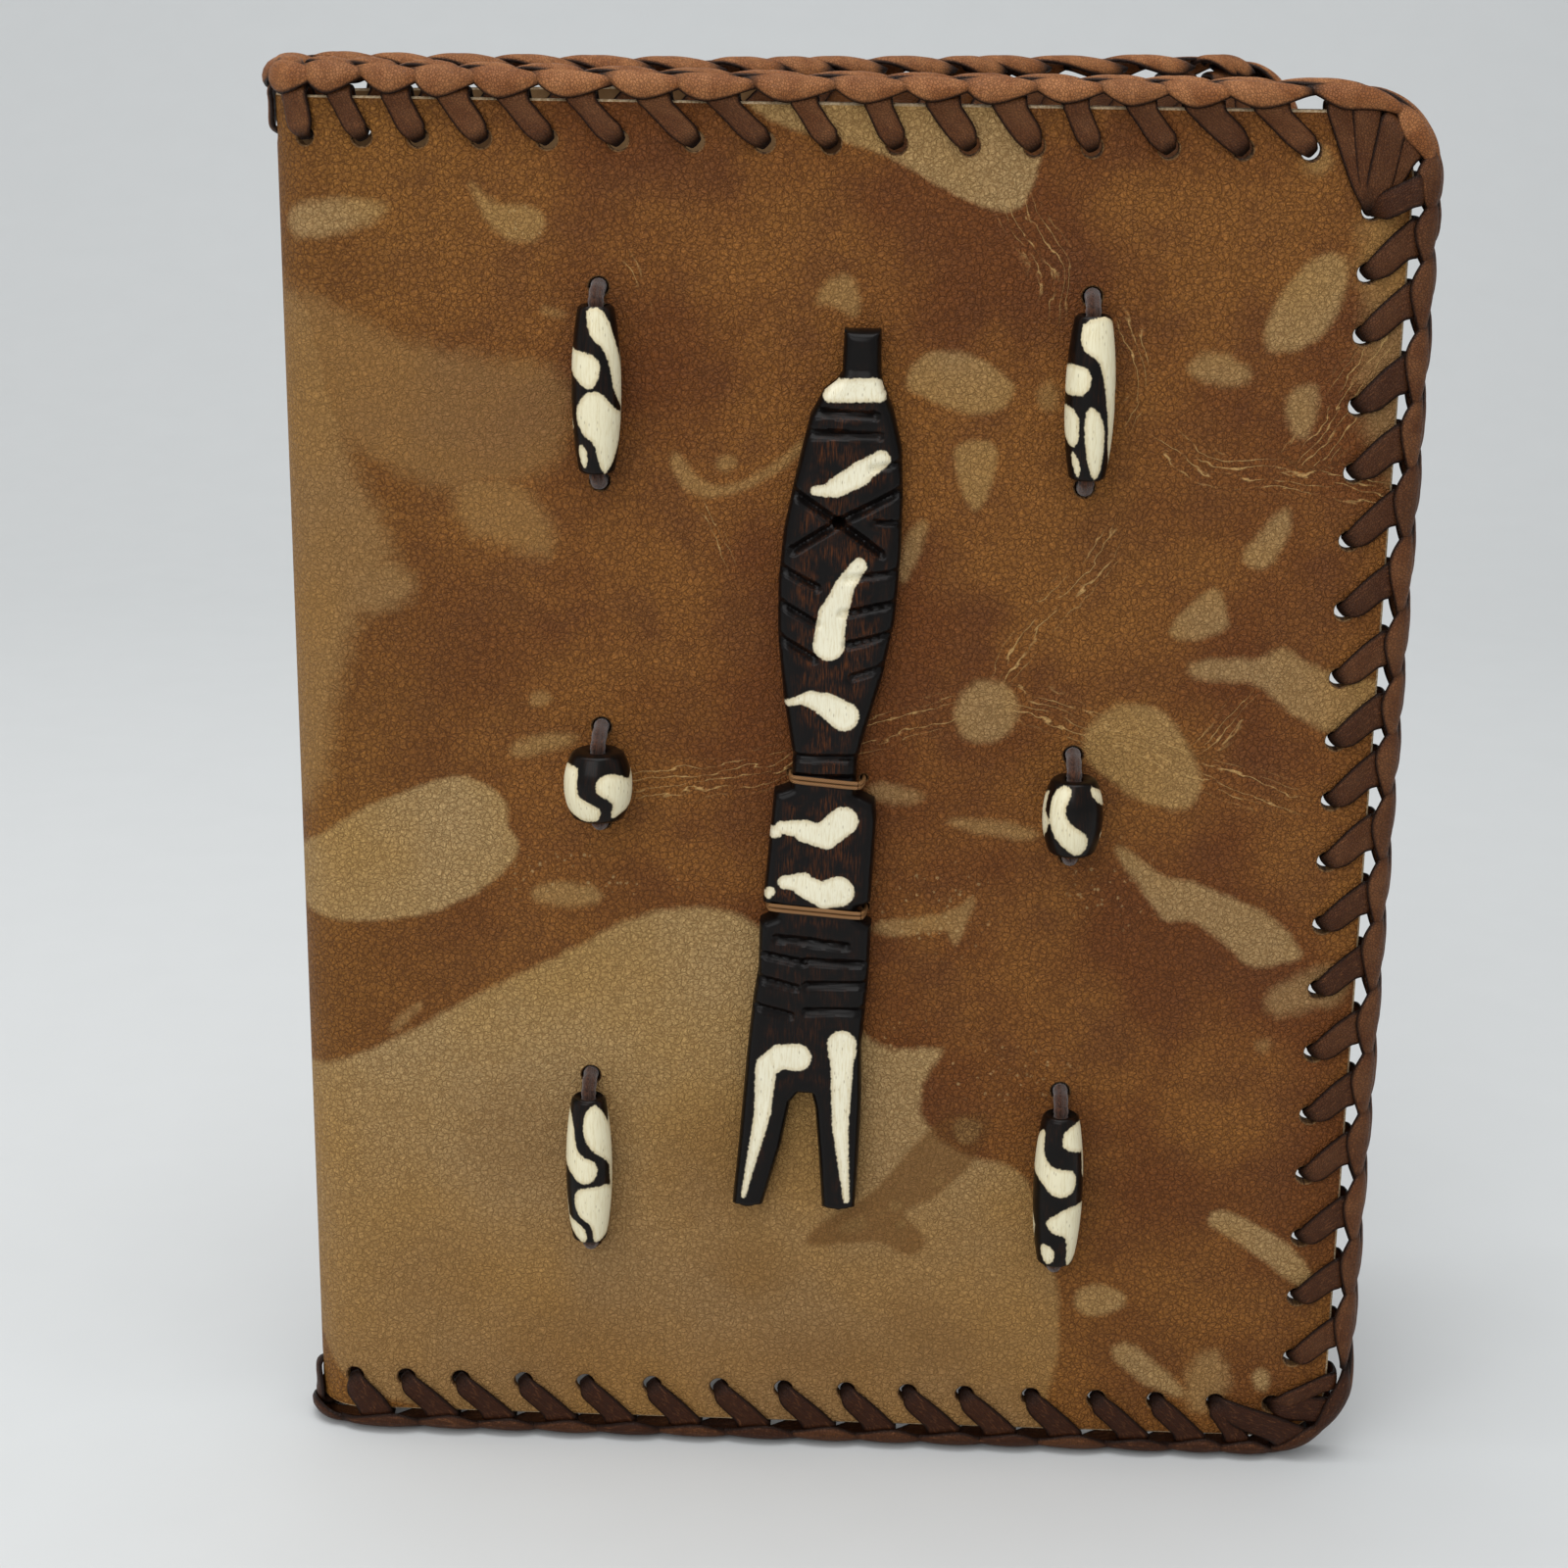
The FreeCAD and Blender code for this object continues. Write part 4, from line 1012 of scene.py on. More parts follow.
def lace_material():
    """Lace leather: tone darkens a strip, mostly as painted shade and a little at random, and its edges and
    ends are dark, as painted shade in the gaps between strips.
    """
    s = Shade("lace_leather", roughness=0.5, specular=0.16, coat=0.03)
    (along, across, tone) = s.attribute("strip")[1]
    place_on = s.node("CombineXYZ", {0: along, 1: across, 2: s.times(tone, 91.0)}).outputs[0]
    wide = s.noise(place_on, 0.28, 2, 0.5)
    pores = s.cells(place_on, 2.6, "DISTANCE_TO_EDGE")
    strain = s.noise(s.scaled(place_on, 0.55, 2.4, 1.0), 1.6, 3, 0.6)
    colour = s.mix(s.ramp(wide, 0.3, 0.7), rgb(166, 110, 66), rgb(138, 84, 44))
    # painted shade: a strip darkens by its tone
    colour = s.mix(tone, colour, rgb(56, 27, 10))
    colour = s.tint(colour, s.ramp(strain, 0.52, 0.72), 0.30, rgb(158, 102, 62))
    colour = s.tint(colour, s.ramp(pores, 0.16, 0.0), 0.45, rgb(44, 19, 7))
    # painted shade: dark edges and ends of each strip, where it lies against and under the next
    colour = s.mix(s.ramp(s.value("rim"), 0.72, 0.97), colour, rgb(26, 10, 3))
    s.set("Base Color", colour)
    s.set("Normal", s.bump(s.times_plus(s.ramp(pores, 0.0, 0.16), 0.5, strain), 0.8, 0.22))
    s.set("Roughness", s.times_plus(strain, 0.18, 0.40))
    return s.material


# ---- make the leather pieces --------------------------------------------------------------
dyed = cover_material()
suede = flesh_material("flesh_side", rgb(150, 118, 80), rgb(120, 88, 56))
cut = cut_material("cut_edge", rgb(206, 184, 150), rgb(158, 128, 92))
# hole walls: the same cut leather as the edge, painted darker as shade inside the holes
shaded_hole_wall = cut_material("hole_wall_painted_shade", rgb(132, 98, 60), rgb(58, 34, 16))
pocket_skin = pocket_material()
pocket_flesh = flesh_material("pocket_flesh", rgb(120, 84, 54), rgb(92, 60, 36))
lace_skin = lace_material()

# places along the spine's curve between which the leather bends with each hinge
MID_HEIGHT = 110.0
front_bend = [Vector(place(q, 0.0, MID_HEIGHT) * MM) for q in (2.2, HALF_ARC)]
back_bend = [Vector(place(q, 0.0, MID_HEIGHT) * MM) for q in (-HALF_ARC, -2.2)]

# beads: name, x and z of the middle, radius, length
BEADS = [
    ("upper_left", 48.2, 174.1, 3.65, 24.6),
    ("upper_right", 120.4, 174.2, 3.65, 24.0),
    ("middle_left", 48.2, 114.0, 5.2, 10.6),
    ("middle_right", 120.4, 110.6, 4.6, 11.8),
    ("lower_left", 46.2, 49.8, 3.65, 24.4),
    ("lower_right", 120.6, 48.6, 3.9, 25.2),
]
THONG_REACH = 2.1                     # from a bead's end to its thong's hole
FIGURE_FOOT = (78.6, 45.4)
FIGURE_LEAN = math.radians(3.6)
# ties of the figure: name, height up the figure, half width
TIES = [("lower", 48.6, 7.6), ("upper", 69.4, 5.6)]
TIE_HOLE_R = 0.6


def figure_place(across, height):
    x = FIGURE_FOOT[0] + across * math.cos(FIGURE_LEAN) + height * math.sin(FIGURE_LEAN)
    z = FIGURE_FOOT[1] - across * math.sin(FIGURE_LEAN) + height * math.cos(FIGURE_LEAN)
    return x, z


thong_holes = [(q_of(x), z + s * (length / 2 + THONG_REACH), HOLE_R)
               for _name, x, z, _radius, length in BEADS for s in (-1, 1)]
tie_holes = []
for _name, height, half in TIES:
    for s in (-1, 1):
        x, z = figure_place(s * half, height)
        tie_holes.append((q_of(x), z, TIE_HOLE_R))
laced = [(q, z, HOLE_R) for q, z in holes]
seam_holes = [(q, z, HOLE_R) for q, z in spine_holes]


def skin_over(q, z):
    return wave(q, z) + pucker(q, z, holes)


def skin_under(q, z):
    return -COVER_T + wave(q, z)


def cover(name, start, holes_here, spacing, describe, hinge, bend, nodes):
    """One half of the cover's leather, from the seam on the spine to its fore edge."""
    build = Build()
    sheet(build, start, True, holes_here, spacing, skin_over, skin_under, hinge[0] == "back", describe)
    leather = build.finish(name, [dyed, cut, suede, shaded_hole_wall])
    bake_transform(leather, *hinge, *bend)
    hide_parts(*nodes)


cover("front_leather", SEAM_Q, laced + seam_holes + thong_holes + tie_holes,
      0.85, describe_front, ("spine", "front"), front_bend,
      ("front_cover", "spine_leather"))
cover("back_leather", -SEAM_Q, laced, 1.6, describe_back, ("back", "spine"), back_bend, ("back_cover",))


def pocket_rise(q, z):
    """How far the pocket stands off for the notebook's board, inside its flat laced border."""
    border = 13.0
    d = np.minimum.reduce([EDGE - border - q, z - LOW - border, HIGH - border - z])
    t = np.clip(d / 3.0 + 0.2, 0, 1)
    return 1.7 * (t * t * (3 - 2 * t))


POCKET_GAP, POCKET_T = 0.1, 1.2
for side in ("front", "back"):
    b = Build()
    sheet(b, POCKET_Q, False, [h for h in laced if h[0] > POCKET_Q + 3], 1.8,
          lambda q, z: -(COVER_T + POCKET_GAP) - pocket_rise(q, z),
          lambda q, z: -(COVER_T + POCKET_GAP + POCKET_T) - pocket_rise(q, z),
          side == "back", lambda q, z: {}, slots=(2, 1, 0, 3))
    pocket = b.finish(side + "_pocket_leather", [pocket_skin, cut, pocket_flesh, shaded_hole_wall])
    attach(pocket, side)
    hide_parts(side + "_pocket")

# ---- lacing -------------------------------------------------------------------------------
tones = np.random.default_rng(3)
front_lace, back_lace, crossing = Build(), Build(), Build()
around = sorted(stitches + spine_stitches + back_stitches, key=lambda stitch: stitch[1])
for piece in lace(around, 100):
    q = piece[0]
    target = front_lace if q.min() > SEAM_Q else back_lace if q.max() < SEAM_Q else crossing
    add_strip(target, piece)

front_lacing = front_lace.finish("front_lacing", [lace_skin])
back_lacing = back_lace.finish("back_lacing", [lace_skin])
loose = crossing.finish("crossing", [lace_skin])


def cut_at_seam(source, keep_front):
    """A copy of the mesh cut off at the seam and capped."""
    copy = source.copy()
    copy.data = source.data.copy()
    bpy.context.scene.collection.objects.link(copy)
    here = place(SEAM_Q, 0.0, 0.0) * MM
    ahead = place(SEAM_Q + 0.5, 0.0, 0.0) * MM - place(SEAM_Q - 0.5, 0.0, 0.0) * MM
    bm = bmesh.new()
    bm.from_mesh(copy.data)
    whole = bm.verts[:] + bm.edges[:] + bm.faces[:]
    bmesh.ops.bisect_plane(bm, geom=whole, plane_co=here, plane_no=ahead,
                           clear_inner=keep_front, clear_outer=not keep_front)
    open_edges = [e for e in bm.edges if e.is_boundary]
    bmesh.ops.holes_fill(bm, edges=open_edges, sides=0)
    bm.to_mesh(copy.data)
    bm.free()
    return copy


def join(main, other):
    with bpy.context.temp_override(active_object=main, object=main,
                                   selected_editable_objects=[main, other]):
        bpy.ops.object.join()


join(front_lacing, cut_at_seam(loose, True))
join(back_lacing, cut_at_seam(loose, False))
bpy.data.objects.remove(loose)
for lacing, hinge, bend in ((front_lacing, ("spine", "front"), front_bend),
                            (back_lacing, ("back", "spine"), back_bend)):
    lacing.data.shade_smooth()
    lacing.data.set_sharp_from_angle(angle=math.radians(55))
    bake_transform(lacing, *hinge, *bend)
rows = ("top", "bottom", "fore_edge")
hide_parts(*(f"front_{row}_{kind}" for row in rows for kind in ("braid", "stitches")),
            "spine_top_braid", "spine_bottom_braid", "spine_stitches")
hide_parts(*(f"back_{row}_{kind}" for row in rows for kind in ("braid", "stitches")))


# ---- beads, thongs ------------------------------------------------------------------------
# cream marks of each bead: outlines as x and height from its middle
BEAD_MARKS = {
    "upper_left": [
        [(-1.4, 12.2), (2.2, 12.2), (3, 7.6), (3.7, 1), (3.7, -3), (3.2, -3.4), (2.9, -1), (2.6, 2.6),
         (1.7, 6.4), (0.5, 7.2), (-0.7, 8.3), (-1.5, 11)],
        [(-3.6, 6.4), (-2.3, 5.8), (-0.4, 5.6), (0.8, 4.6), (0.9, 2.9), (0.2, 1.4), (-0.6, 0.1),
         (-2.9, 2.1), (-3.6, 4.4)],
        [(-0.8, 0.2), (1.4, 0), (3, -3.4), (3.7, -3), (2.9, -12.1), (0.9, -12.1), (0.3, -7.4),
         (-0.9, -7), (-2.1, -5.8), (-2.8, -4), (-2.6, -2.1), (-1.6, -0.7)],
        [(-2.7, -7.7), (-1.6, -8.1), (-1.3, -9.5), (-1.6, -11.2), (-2.4, -11.4), (-2.8, -9.5)],
    ],
    "upper_right": [
        [(-1.8, 12), (3.2, 12), (3.7, 5), (3.1, 0.2), (3.5, -3.6), (3.5, -8.4), (3.1, -9.2), (2.9, -4.5),
         (2.3, -0.6), (1.7, 4.4), (0.6, 6.3), (-0.6, 6.7), (-1.8, 7.7), (-2.2, 9.6)],
        [(-3.7, 5), (-1.3, 5.1), (-0.4, 4.2), (-0.1, 2.8), (-0.8, 1.1), (-1.8, 0.6), (-3.2, 1.1),
         (-3.7, 2.5)],
        [(-3.4, -1), (-1.8, -0.8), (-1.7, -4.5), (-1.8, -6.4), (-3, -7.3), (-3.7, -3.1)],
        [(-0.8, -0.8), (0.6, -1), (1.7, -2.6), (2.3, -5.4), (2.3, -9.2), (2, -11.5), (0.6, -11.8),
         (-0.8, -6.4)],
        [(-3, -7.4), (-2.3, -7.8), (-1.5, -9.2), (-1.5, -11.1), (-2.3, -11.5)],
    ],
    "middle_left": [
        [(-4.6, 3.3), (-3.3, 3.8), (-2.8, 3.1), (-2.9, 0.1), (-2.4, -1), (0.3, -2.2), (0.9, -2.8),
         (0.7, -4.2), (-0.1, -4.8), (-2.1, -4.8), (-3.8, -4.2), (-4.7, -2), (-4.8, 1.2)],
        [(0.2, 1.7), (1.3, 2.8), (3, 2.8), (4.3, 2), (4.9, 0.1), (4.5, -2), (3.8, -3.9), (2.8, -4.5),
         (2.7, -3.1), (3, -1.5), (0.8, -0.4), (0.2, 0.6)],
    ],
    "middle_right": [
        [(-3.5, 5.5), (-0.6, 5.6), (-0.8, 4.1), (-1.6, 2.5), (-1.3, 0.8), (-0.1, -0.6), (1.7, -1.5),
         (2.3, -2.9), (2.2, -4.5), (1, -5.3), (-0.1, -5), (-2, -3.6), (-3.4, -1.5), (-3.7, 1.8)],
        [(-4.3, 1.8), (-3.8, 1.3), (-3.7, -1.9), (-4.1, -4.5), (-4.5, -3.8)],
        [(2.7, 5.6), (3.7, 5), (4.2, 3.4), (4.2, 1.5), (3.3, 2.7)],
    ],
    "lower_left": [
        [(0.4, 11.4), (2.7, 11.9), (3.7, 3.6), (3.7, -2.2), (3.2, -2.2), (3, 2.5), (1.7, 3.6), (0.2, 5.1),
         (-0.6, 7.2), (-0.6, 9.8)],
        [(-3.4, 10.9), (-2.8, 10.4), (-2.1, 5.7), (-1.4, 3.3), (0.7, 2.8), (1.7, 1.7), (1.5, -0.1),
         (0.7, -1.2), (-0.9, -1.4), (-1.9, -0.6), (-2.9, 0.7), (-3.5, 3)],
        [(-0.4, -1.9), (3.6, -2), (3.2, -9.5), (2.4, -12), (1.2, -12), (1.2, -10.1), (0.4, -8.2),
         (-0.9, -7.7), (-2, -6.1), (-2.1, -4), (-1.6, -2.7)],
        [(-3.3, -6.9), (-2.4, -8.2), (-0.9, -9), (-0.1, -10.6), (-0.4, -12), (-2.1, -11.7)],
    ],
    "lower_right": [
        [(0.8, 11.7), (3.6, 12.2), (3.8, 8.9), (3.6, 6.5), (0.6, 7.8), (0.2, 9.4)],
        [(-2.9, 12), (-3.1, 8.4), (-2.4, 5.8), (-0.8, 4.7), (1.5, 4.7), (2.5, 4), (2.7, 1.6), (1.5, 0.2),
         (-0.3, 0.1), (-1.7, 0.9), (-2.9, 2.7), (-3.7, 4.2), (-3.8, 7.3)],
        [(0.8, -1.7), (3.7, -1.5), (3.8, -5.1), (3.6, -8.7), (3, -12.4), (2.1, -12.3), (2, -9.7),
         (1.6, -6.6), (0.1, -6.6), (-1.5, -5.6), (-2.1, -4), (0.1, -3)],
        [(-3.1, -8.7), (-1.7, -8.4), (-0.6, -9.2), (-0.3, -10.7), (-1.2, -12), (-2.6, -11.8)],
    ],
}


def bone_material(name, polish, light, ink_colours):
    """Bone dyed dark and left cream where it was waxed; ink is the distance inside the cream."""
    s = Shade(name, roughness=0.34, specular=0.12, coat=0.08 * polish, coat_roughness=0.1)
    where, part = s.attribute("bone")
    noisy = s.times_plus(s.noise(where, 1.8, 3, 0.6), 0.6, -0.3)
    ink = s.math("ADD", s.value("cream"), noisy)
    mask = s.ramp(ink, -0.22, 0.06)
    streak = s.noise(s.scaled(where, 1.0, 0.10, 1.0), 4.0, 3, 0.6)
    pores = s.ramp(s.cells(s.scaled(where, 1.0, 0.35, 1.0), 1.5), 0.22, 0.05)
    cream = s.mix(s.ramp(streak, 0.42, 0.75, 0.0, 0.5), light, rgb(206, 188, 140))
    cream = s.tint(cream, pores, 0.45, rgb(120, 96, 62))
    cream = s.tint(cream, s.ramp(ink, 0.75, 0.0), 0.35, rgb(176, 146, 88))
    clouds = s.ramp(s.noise(where, 0.35, 2, 0.5), 0.36, 0.62)
    warm = s.times(s.ramp(streak, 0.40, 0.72), clouds)
    dark = s.tint(ink_colours[0], warm, part[2], ink_colours[1])
    s.set("Base Color", s.mix(mask, dark, cream))
    s.set("Roughness", s.mix(mask, (0.30,) * 3 + (1,), (0.42,) * 3 + (1,)))
    height = s.math("ADD", s.times(streak, 0.6), s.times(mask, 0.4))
    s.set("Normal", s.bump(height, 0.25, 0.08))
    return s.material


def suede_lace():
    """Dark suede of the bead thongs."""
    s = Shade("thong_suede", roughness=0.9, specular=0.15, sheen=0.3)
    nap = s.noise(s.attribute("strip")[0], 3.2, 4, 0.7)
    s.set("Base Color", s.mix(s.ramp(nap, 0.35, 0.68), rgb(30, 15, 9), rgb(92, 58, 40)))
    s.set("Normal", s.bump(nap, 0.8, 0.2))
    return s.material


def turned_ring(centre, profile, turns=72):
    """Vertices, faces and angles of a ring turned about +Z from a closed profile of (r, z)."""
    pts = np.array(profile)
    rows = len(pts)
    a = np.arange(turns) * 2 * math.pi / turns
    co = np.stack([centre[0] + pts[:, 0:1] * np.sin(a), centre[1] - pts[:, 0:1] * np.cos(a),
                   np.broadcast_to(centre[2] + pts[:, 1:2], (rows, turns))], -1)
    last, here = (rows - 1) * turns, np.arange(turns)
    there = (here + 1) % turns
    closing = np.stack([last + here, last + there, there, here], -1)
    return co, np.concatenate([grid_faces(rows, turns, close=True), closing]), a


def tube(build, path, radius, turns=14, tone=0.5):
    """A closed tube along a path of points, with flat ends."""
    p = np.asarray(path, float)
    along = np.gradient(p, axis=0)
    along /= np.linalg.norm(along, axis=1, keepdims=True)
    side = np.cross(along, np.array([1.0, 0.0, 0.0]))
    weak = np.linalg.norm(side, axis=1) < 0.3
    side[weak] = np.cross(along[weak], np.array([0.0, 1.0, 0.0]))
    side /= np.linalg.norm(side, axis=1, keepdims=True)
    other = np.cross(along, side)
    r = np.broadcast_to(radius, len(p)).astype(float)
    a = np.arange(turns) * 2 * math.pi / turns
    ring = side[:, None] * np.cos(a)[None, :, None] + other[:, None] * np.sin(a)[None, :, None]
    co = (p[:, None] + ring * r[:, None, None]).reshape(-1, 3)
    quads = grid_faces(len(p), turns, close=True)
    last = (len(p) - 1) * turns
    fans = [(turns - 1, turns - 1 - i, turns - 2 - i) for i in range(1, turns - 1)]
    fans += [(last, last + i, last + i + 1) for i in range(1, turns - 1)]
    length = np.concatenate([[0], np.cumsum(np.linalg.norm(np.diff(p, axis=0), axis=1))])
    data = np.stack([np.broadcast_to(length[:, None], (len(p), turns)),
                     np.broadcast_to(a[None, :] * r.mean(), (len(p), turns)),
                     np.full((len(p), turns), tone * 31.0)], -1).reshape(-1, 3)
    faces = np.concatenate([quads[:, [0, 1, 2]], quads[:, [0, 2, 3]], np.array(fans)])
    build.add(co, faces, strip=data, rim=np.zeros(len(co)))


SKIN_Y = cover_low[1]                 # the front cover's outer face
BORE_R = 1.30
bead_bone = bone_material("bead_bone", 1.0, rgb(236, 228, 196), (rgb(12, 9, 7), rgb(46, 24, 12)))
thong_skin = suede_lace()


def cream_of(name, arc, height, radius):
    """Distance inside the bead's cream marks, on its front and repeated upside down behind."""
    around_bead = 2 * math.pi * radius
    side_arc = (math.pi / 2 + 0.35) * radius
    cream = np.full(arc.shape, -2.0)
    for mark in BEAD_MARKS[name]:
        # marks that reach the bead's side run on a little round it
        front = [(math.copysign(side_arc, dx) if abs(dx) > 0.86 * radius
                  else math.asin(dx / radius) * radius, dz) for dx, dz in mark]
        behind = [(around_bead / 2 - ax, -az) for ax, az in front]
        for points in (front, behind):
            for shift in (-around_bead, 0, around_bead):
                cream = np.maximum(cream, distance_inside(arc - shift, height, points))
    return cream


def bead(name, centre, half, radius, length):
    """A barrel of bone with a bore, spinning on its thong."""
    t = np.linspace(-1, 1, max(30, int(length / 0.28)))
    end_r = radius * 0.72
    outer = end_r + (radius - end_r) * (1 - np.abs(t) ** 2.2)
    soft_end = np.clip((1 - np.abs(t)) * half / 0.5, 0, 1)
    outer = outer - 0.35 * (1 - np.sqrt(1 - (1 - soft_end) ** 2))
    lip = half - 0.25
    profile = [(BORE_R + 0.02, -lip)] + [(r, h * half) for r, h in zip(outer, t)]
    profile += [(BORE_R + 0.02, lip)] + [(BORE_R, h * half) for h in (0.8, 0.0, -0.8)]
    co, faces, a = turned_ring(centre, profile)
    arc = np.broadcast_to(np.where(a > math.pi, a - 2 * math.pi, a) * radius, co.shape[:2])
    cream = cream_of(name, arc, co[..., 2] - centre[2], radius)
    where = np.stack([arc, co[..., 2], np.full_like(arc, 0.6)], -1).reshape(-1, 3)
    outward = (co - centre).reshape(-1, 3) * np.array([1, 1, 0])
    co = co.reshape(-1, 3)
    inside_out = normal_check(co, faces[:200], outward)
    b = Build()
    b.add(co, faces[:, ::-1] if inside_out else faces, bone=where, cream=cream.ravel())
    piece = b.finish(name + "_bone_bead", [bead_bone], 50)
    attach(piece, name + "_bead")
    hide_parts(name + "_bead")


def thong(name, cx, cy, z, half, reach):
    """The suede lace through a bead and both its holes, knotted inside the cover."""
    inner = SKIN_Y + COVER_T
    top = [(cx, inner + 0.8, z + reach - 0.2), (cx, SKIN_Y + 0.6, z + reach + 0.1),
           (cx, SKIN_Y - 0.6, z + reach + 0.05), (cx, (cy + SKIN_Y) / 2 - 0.7, z + reach - 0.55),
           (cx, cy + 0.1, z + reach - 1.6), (cx, cy, z + half - 0.4), (cx, cy, z + half - 2.5)]
    bottom = [(px, py, 2 * z - pz) for px, py, pz in top[::-1]]
    b = Build()
    tube(b, smooth_keys(top + bottom, 60), 1.14 + 0.05 * np.sin(np.arange(60) * 1.1))
    for s in (-1, 1):
        turns = np.linspace(0, 2 * math.pi * 1.9, 46)
        knot = np.stack([cx + 1.15 * np.cos(turns), inner + 0.75 + 0.04 * turns,
                         z + s * reach + 1.15 * np.sin(turns)], -1)
        tube(b, knot, 0.72, 10)
        tail = [(cx + 1.1, inner + 1.2, z + s * reach), (cx + 2.6, inner + 0.9, z + s * (reach + 1.2)),
                (cx + 3.4, inner + 0.75, z + s * (reach + 3.6))]
        tube(b, smooth_keys(tail, 14), 0.62, 10)
    piece = b.finish(name + "_suede_thong", [thong_skin], 60)
    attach(piece, "front")
    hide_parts(name + "_thong")


for name, x, z, radius, length in BEADS:
    box_low, box_high = (np.array(c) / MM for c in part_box(name + "_bead"))
    centre, half = (box_low + box_high) / 2, (box_high[2] - box_low[2]) / 2
    bead(name, centre, half, radius, length)
    thong(name, centre[0], centre[1], z, half, length / 2 + THONG_REACH)

# ---- carved figure ------------------------------------------------------------------------
# outline from the tab down the left side, the feet and the split, and up the right side
FIGURE = [
    (84.4, 183.2), (84.2, 177.0), (83.4, 175.8), (81.6, 174.4), (79.6, 170.6), (78.4, 165.6), (77.2, 160.1),
    (75.9, 153.4), (75.2, 145.7), (75.2, 137.4), (76.2, 127.6), (77.7, 118.6), (77.6, 113.6), (74.9, 112.7),
    (74.2, 104.0), (73.4, 94.8), (75.6, 94.0), (75.4, 92.9), (72.9, 91.6), (72.8, 84.0), (72.0, 78.9),
    (71.1, 69.5), (69.9, 54.0), (69.0, 43.9), (71.4, 43.2), (73.8, 43.8), (76.6, 54.0), (78.0, 61.6),
    (79.4, 63.2), (81.4, 63.0), (82.0, 60.6), (82.7, 52.0), (83.3, 43.6), (86.0, 43.1), (88.5, 43.7),
    (89.0, 54.0), (89.2, 62.3), (89.0, 71.2), (89.9, 82.3), (90.2, 91.5), (88.0, 93.0), (88.0, 94.2),
    (90.0, 95.2), (90.6, 108.9), (90.3, 111.4), (87.3, 112.8), (87.5, 118.0), (88.9, 123.4), (91.1, 131.2),
    (92.7, 140.0), (93.4, 150.0), (93.5, 158.6), (93.2, 165.7), (91.9, 171.2), (90.2, 175.4), (89.9, 177.0),
    (89.8, 183.2),
]
GROOVES = [  # x, z, x, z, half width, depth
    (79.8, 171.3, 89.2, 170.9, 0.55, 0.55), (79.0, 168.2, 89.8, 167.9, 0.55, 0.55),
    (77.4, 159.2, 84.0, 154.9, 0.6, 0.7), (84.0, 154.9, 90.4, 150.2, 0.6, 0.7),
    (77.4, 150.6, 84.0, 154.9, 0.6, 0.7), (84.0, 154.9, 93.2, 159.6, 0.6, 0.7),
    (75.9, 147.6, 81.0, 145.0, 0.5, 0.6), (75.6, 142.4, 81.0, 139.4, 0.5, 0.6),
    (75.4, 137.2, 80.8, 134.0, 0.5, 0.6), (84.8, 141.0, 93.2, 142.6, 0.5, 0.6),
    (85.6, 136.2, 92.8, 138.0, 0.5, 0.6), (86.4, 131.2, 92.0, 133.0, 0.5, 0.5),
    (85.6, 146.4, 93.4, 147.4, 0.45, 0.5), (77.6, 118.5, 87.4, 118.4, 0.5, 0.6),
    (77.8, 115.4, 87.2, 115.2, 0.4, 0.5), (89.0, 163.0, 93.2, 163.8, 0.4, 0.5),
    (89.4, 155.0, 93.6, 154.6, 0.4, 0.5),
    (75.6, 89.3, 86.4, 88.2, 0.6, 0.6), (73.9, 86.5, 79.7, 85.4, 0.5, 0.55),
    (80.4, 85.6, 88.9, 85.3, 0.5, 0.55),
    (73.0, 82.6, 78.8, 81.2, 0.5, 0.55), (80.3, 81.7, 89.4, 81.9, 0.5, 0.55),
    (72.8, 78.0, 78.0, 76.5, 0.5, 0.5),
    (80.2, 77.3, 89.2, 77.6, 0.5, 0.5),
]
CREAMS = [  # x, z, x, z, radius at each end
    (82.4, 173.8, 89.8, 173.9, 0.9, 0.9), (83.4, 174.6, 88.8, 174.9, 1.5, 1.5),
    (80.5, 159.7, 82.4, 159.7, 0.6, 0.9),
    (83.6, 160.2, 87.0, 162.2, 1.4, 1.7), (87.0, 162.4, 90.2, 164.4, 1.6, 1.3),
    (87.2, 148.4, 85.2, 145.4, 1.1, 1.4),
    (85.2, 145.4, 83.6, 141.0, 1.4, 2.0), (83.4, 141.0, 82.9, 136.2, 2.0, 2.3),
    (76.8, 127.0, 79.4, 127.9, 0.4, 0.7),
    (80.2, 127.8, 82.6, 127.0, 1.2, 1.6), (82.6, 127.0, 85.4, 125.2, 1.8, 2.2),
    (74.7, 106.4, 75.4, 106.6, 0.8, 0.8),
    (76.2, 107.4, 79.8, 107.2, 0.9, 1.4), (79.8, 106.8, 83.0, 106.0, 1.6, 1.9),
    (83.2, 106.6, 85.6, 108.6, 2.1, 2.2),
    (74.2, 96.4, 74.6, 97.0, 0.6, 0.6), (76.8, 98.5, 79.6, 98.6, 1.0, 1.5),
    (79.8, 98.0, 82.8, 96.6, 1.7, 1.9),
    (83.0, 96.6, 85.0, 97.2, 2.1, 2.4), (79.0, 69.6, 76.4, 69.8, 2.2, 1.9),
    (76.2, 69.6, 74.3, 68.0, 1.9, 1.7),
    (74.2, 68.0, 73.7, 60.0, 1.6, 1.2), (73.7, 60.0, 70.8, 45.8, 1.2, 0.3),
    (86.0, 72.0, 86.1, 70.6, 2.2, 2.1),
    (86.1, 70.6, 86.0, 58.0, 1.8, 1.2), (86.0, 58.0, 87.2, 45.4, 1.2, 0.4),
]
FIGURE_T = 4.2
FIGURE_BACK = -0.15


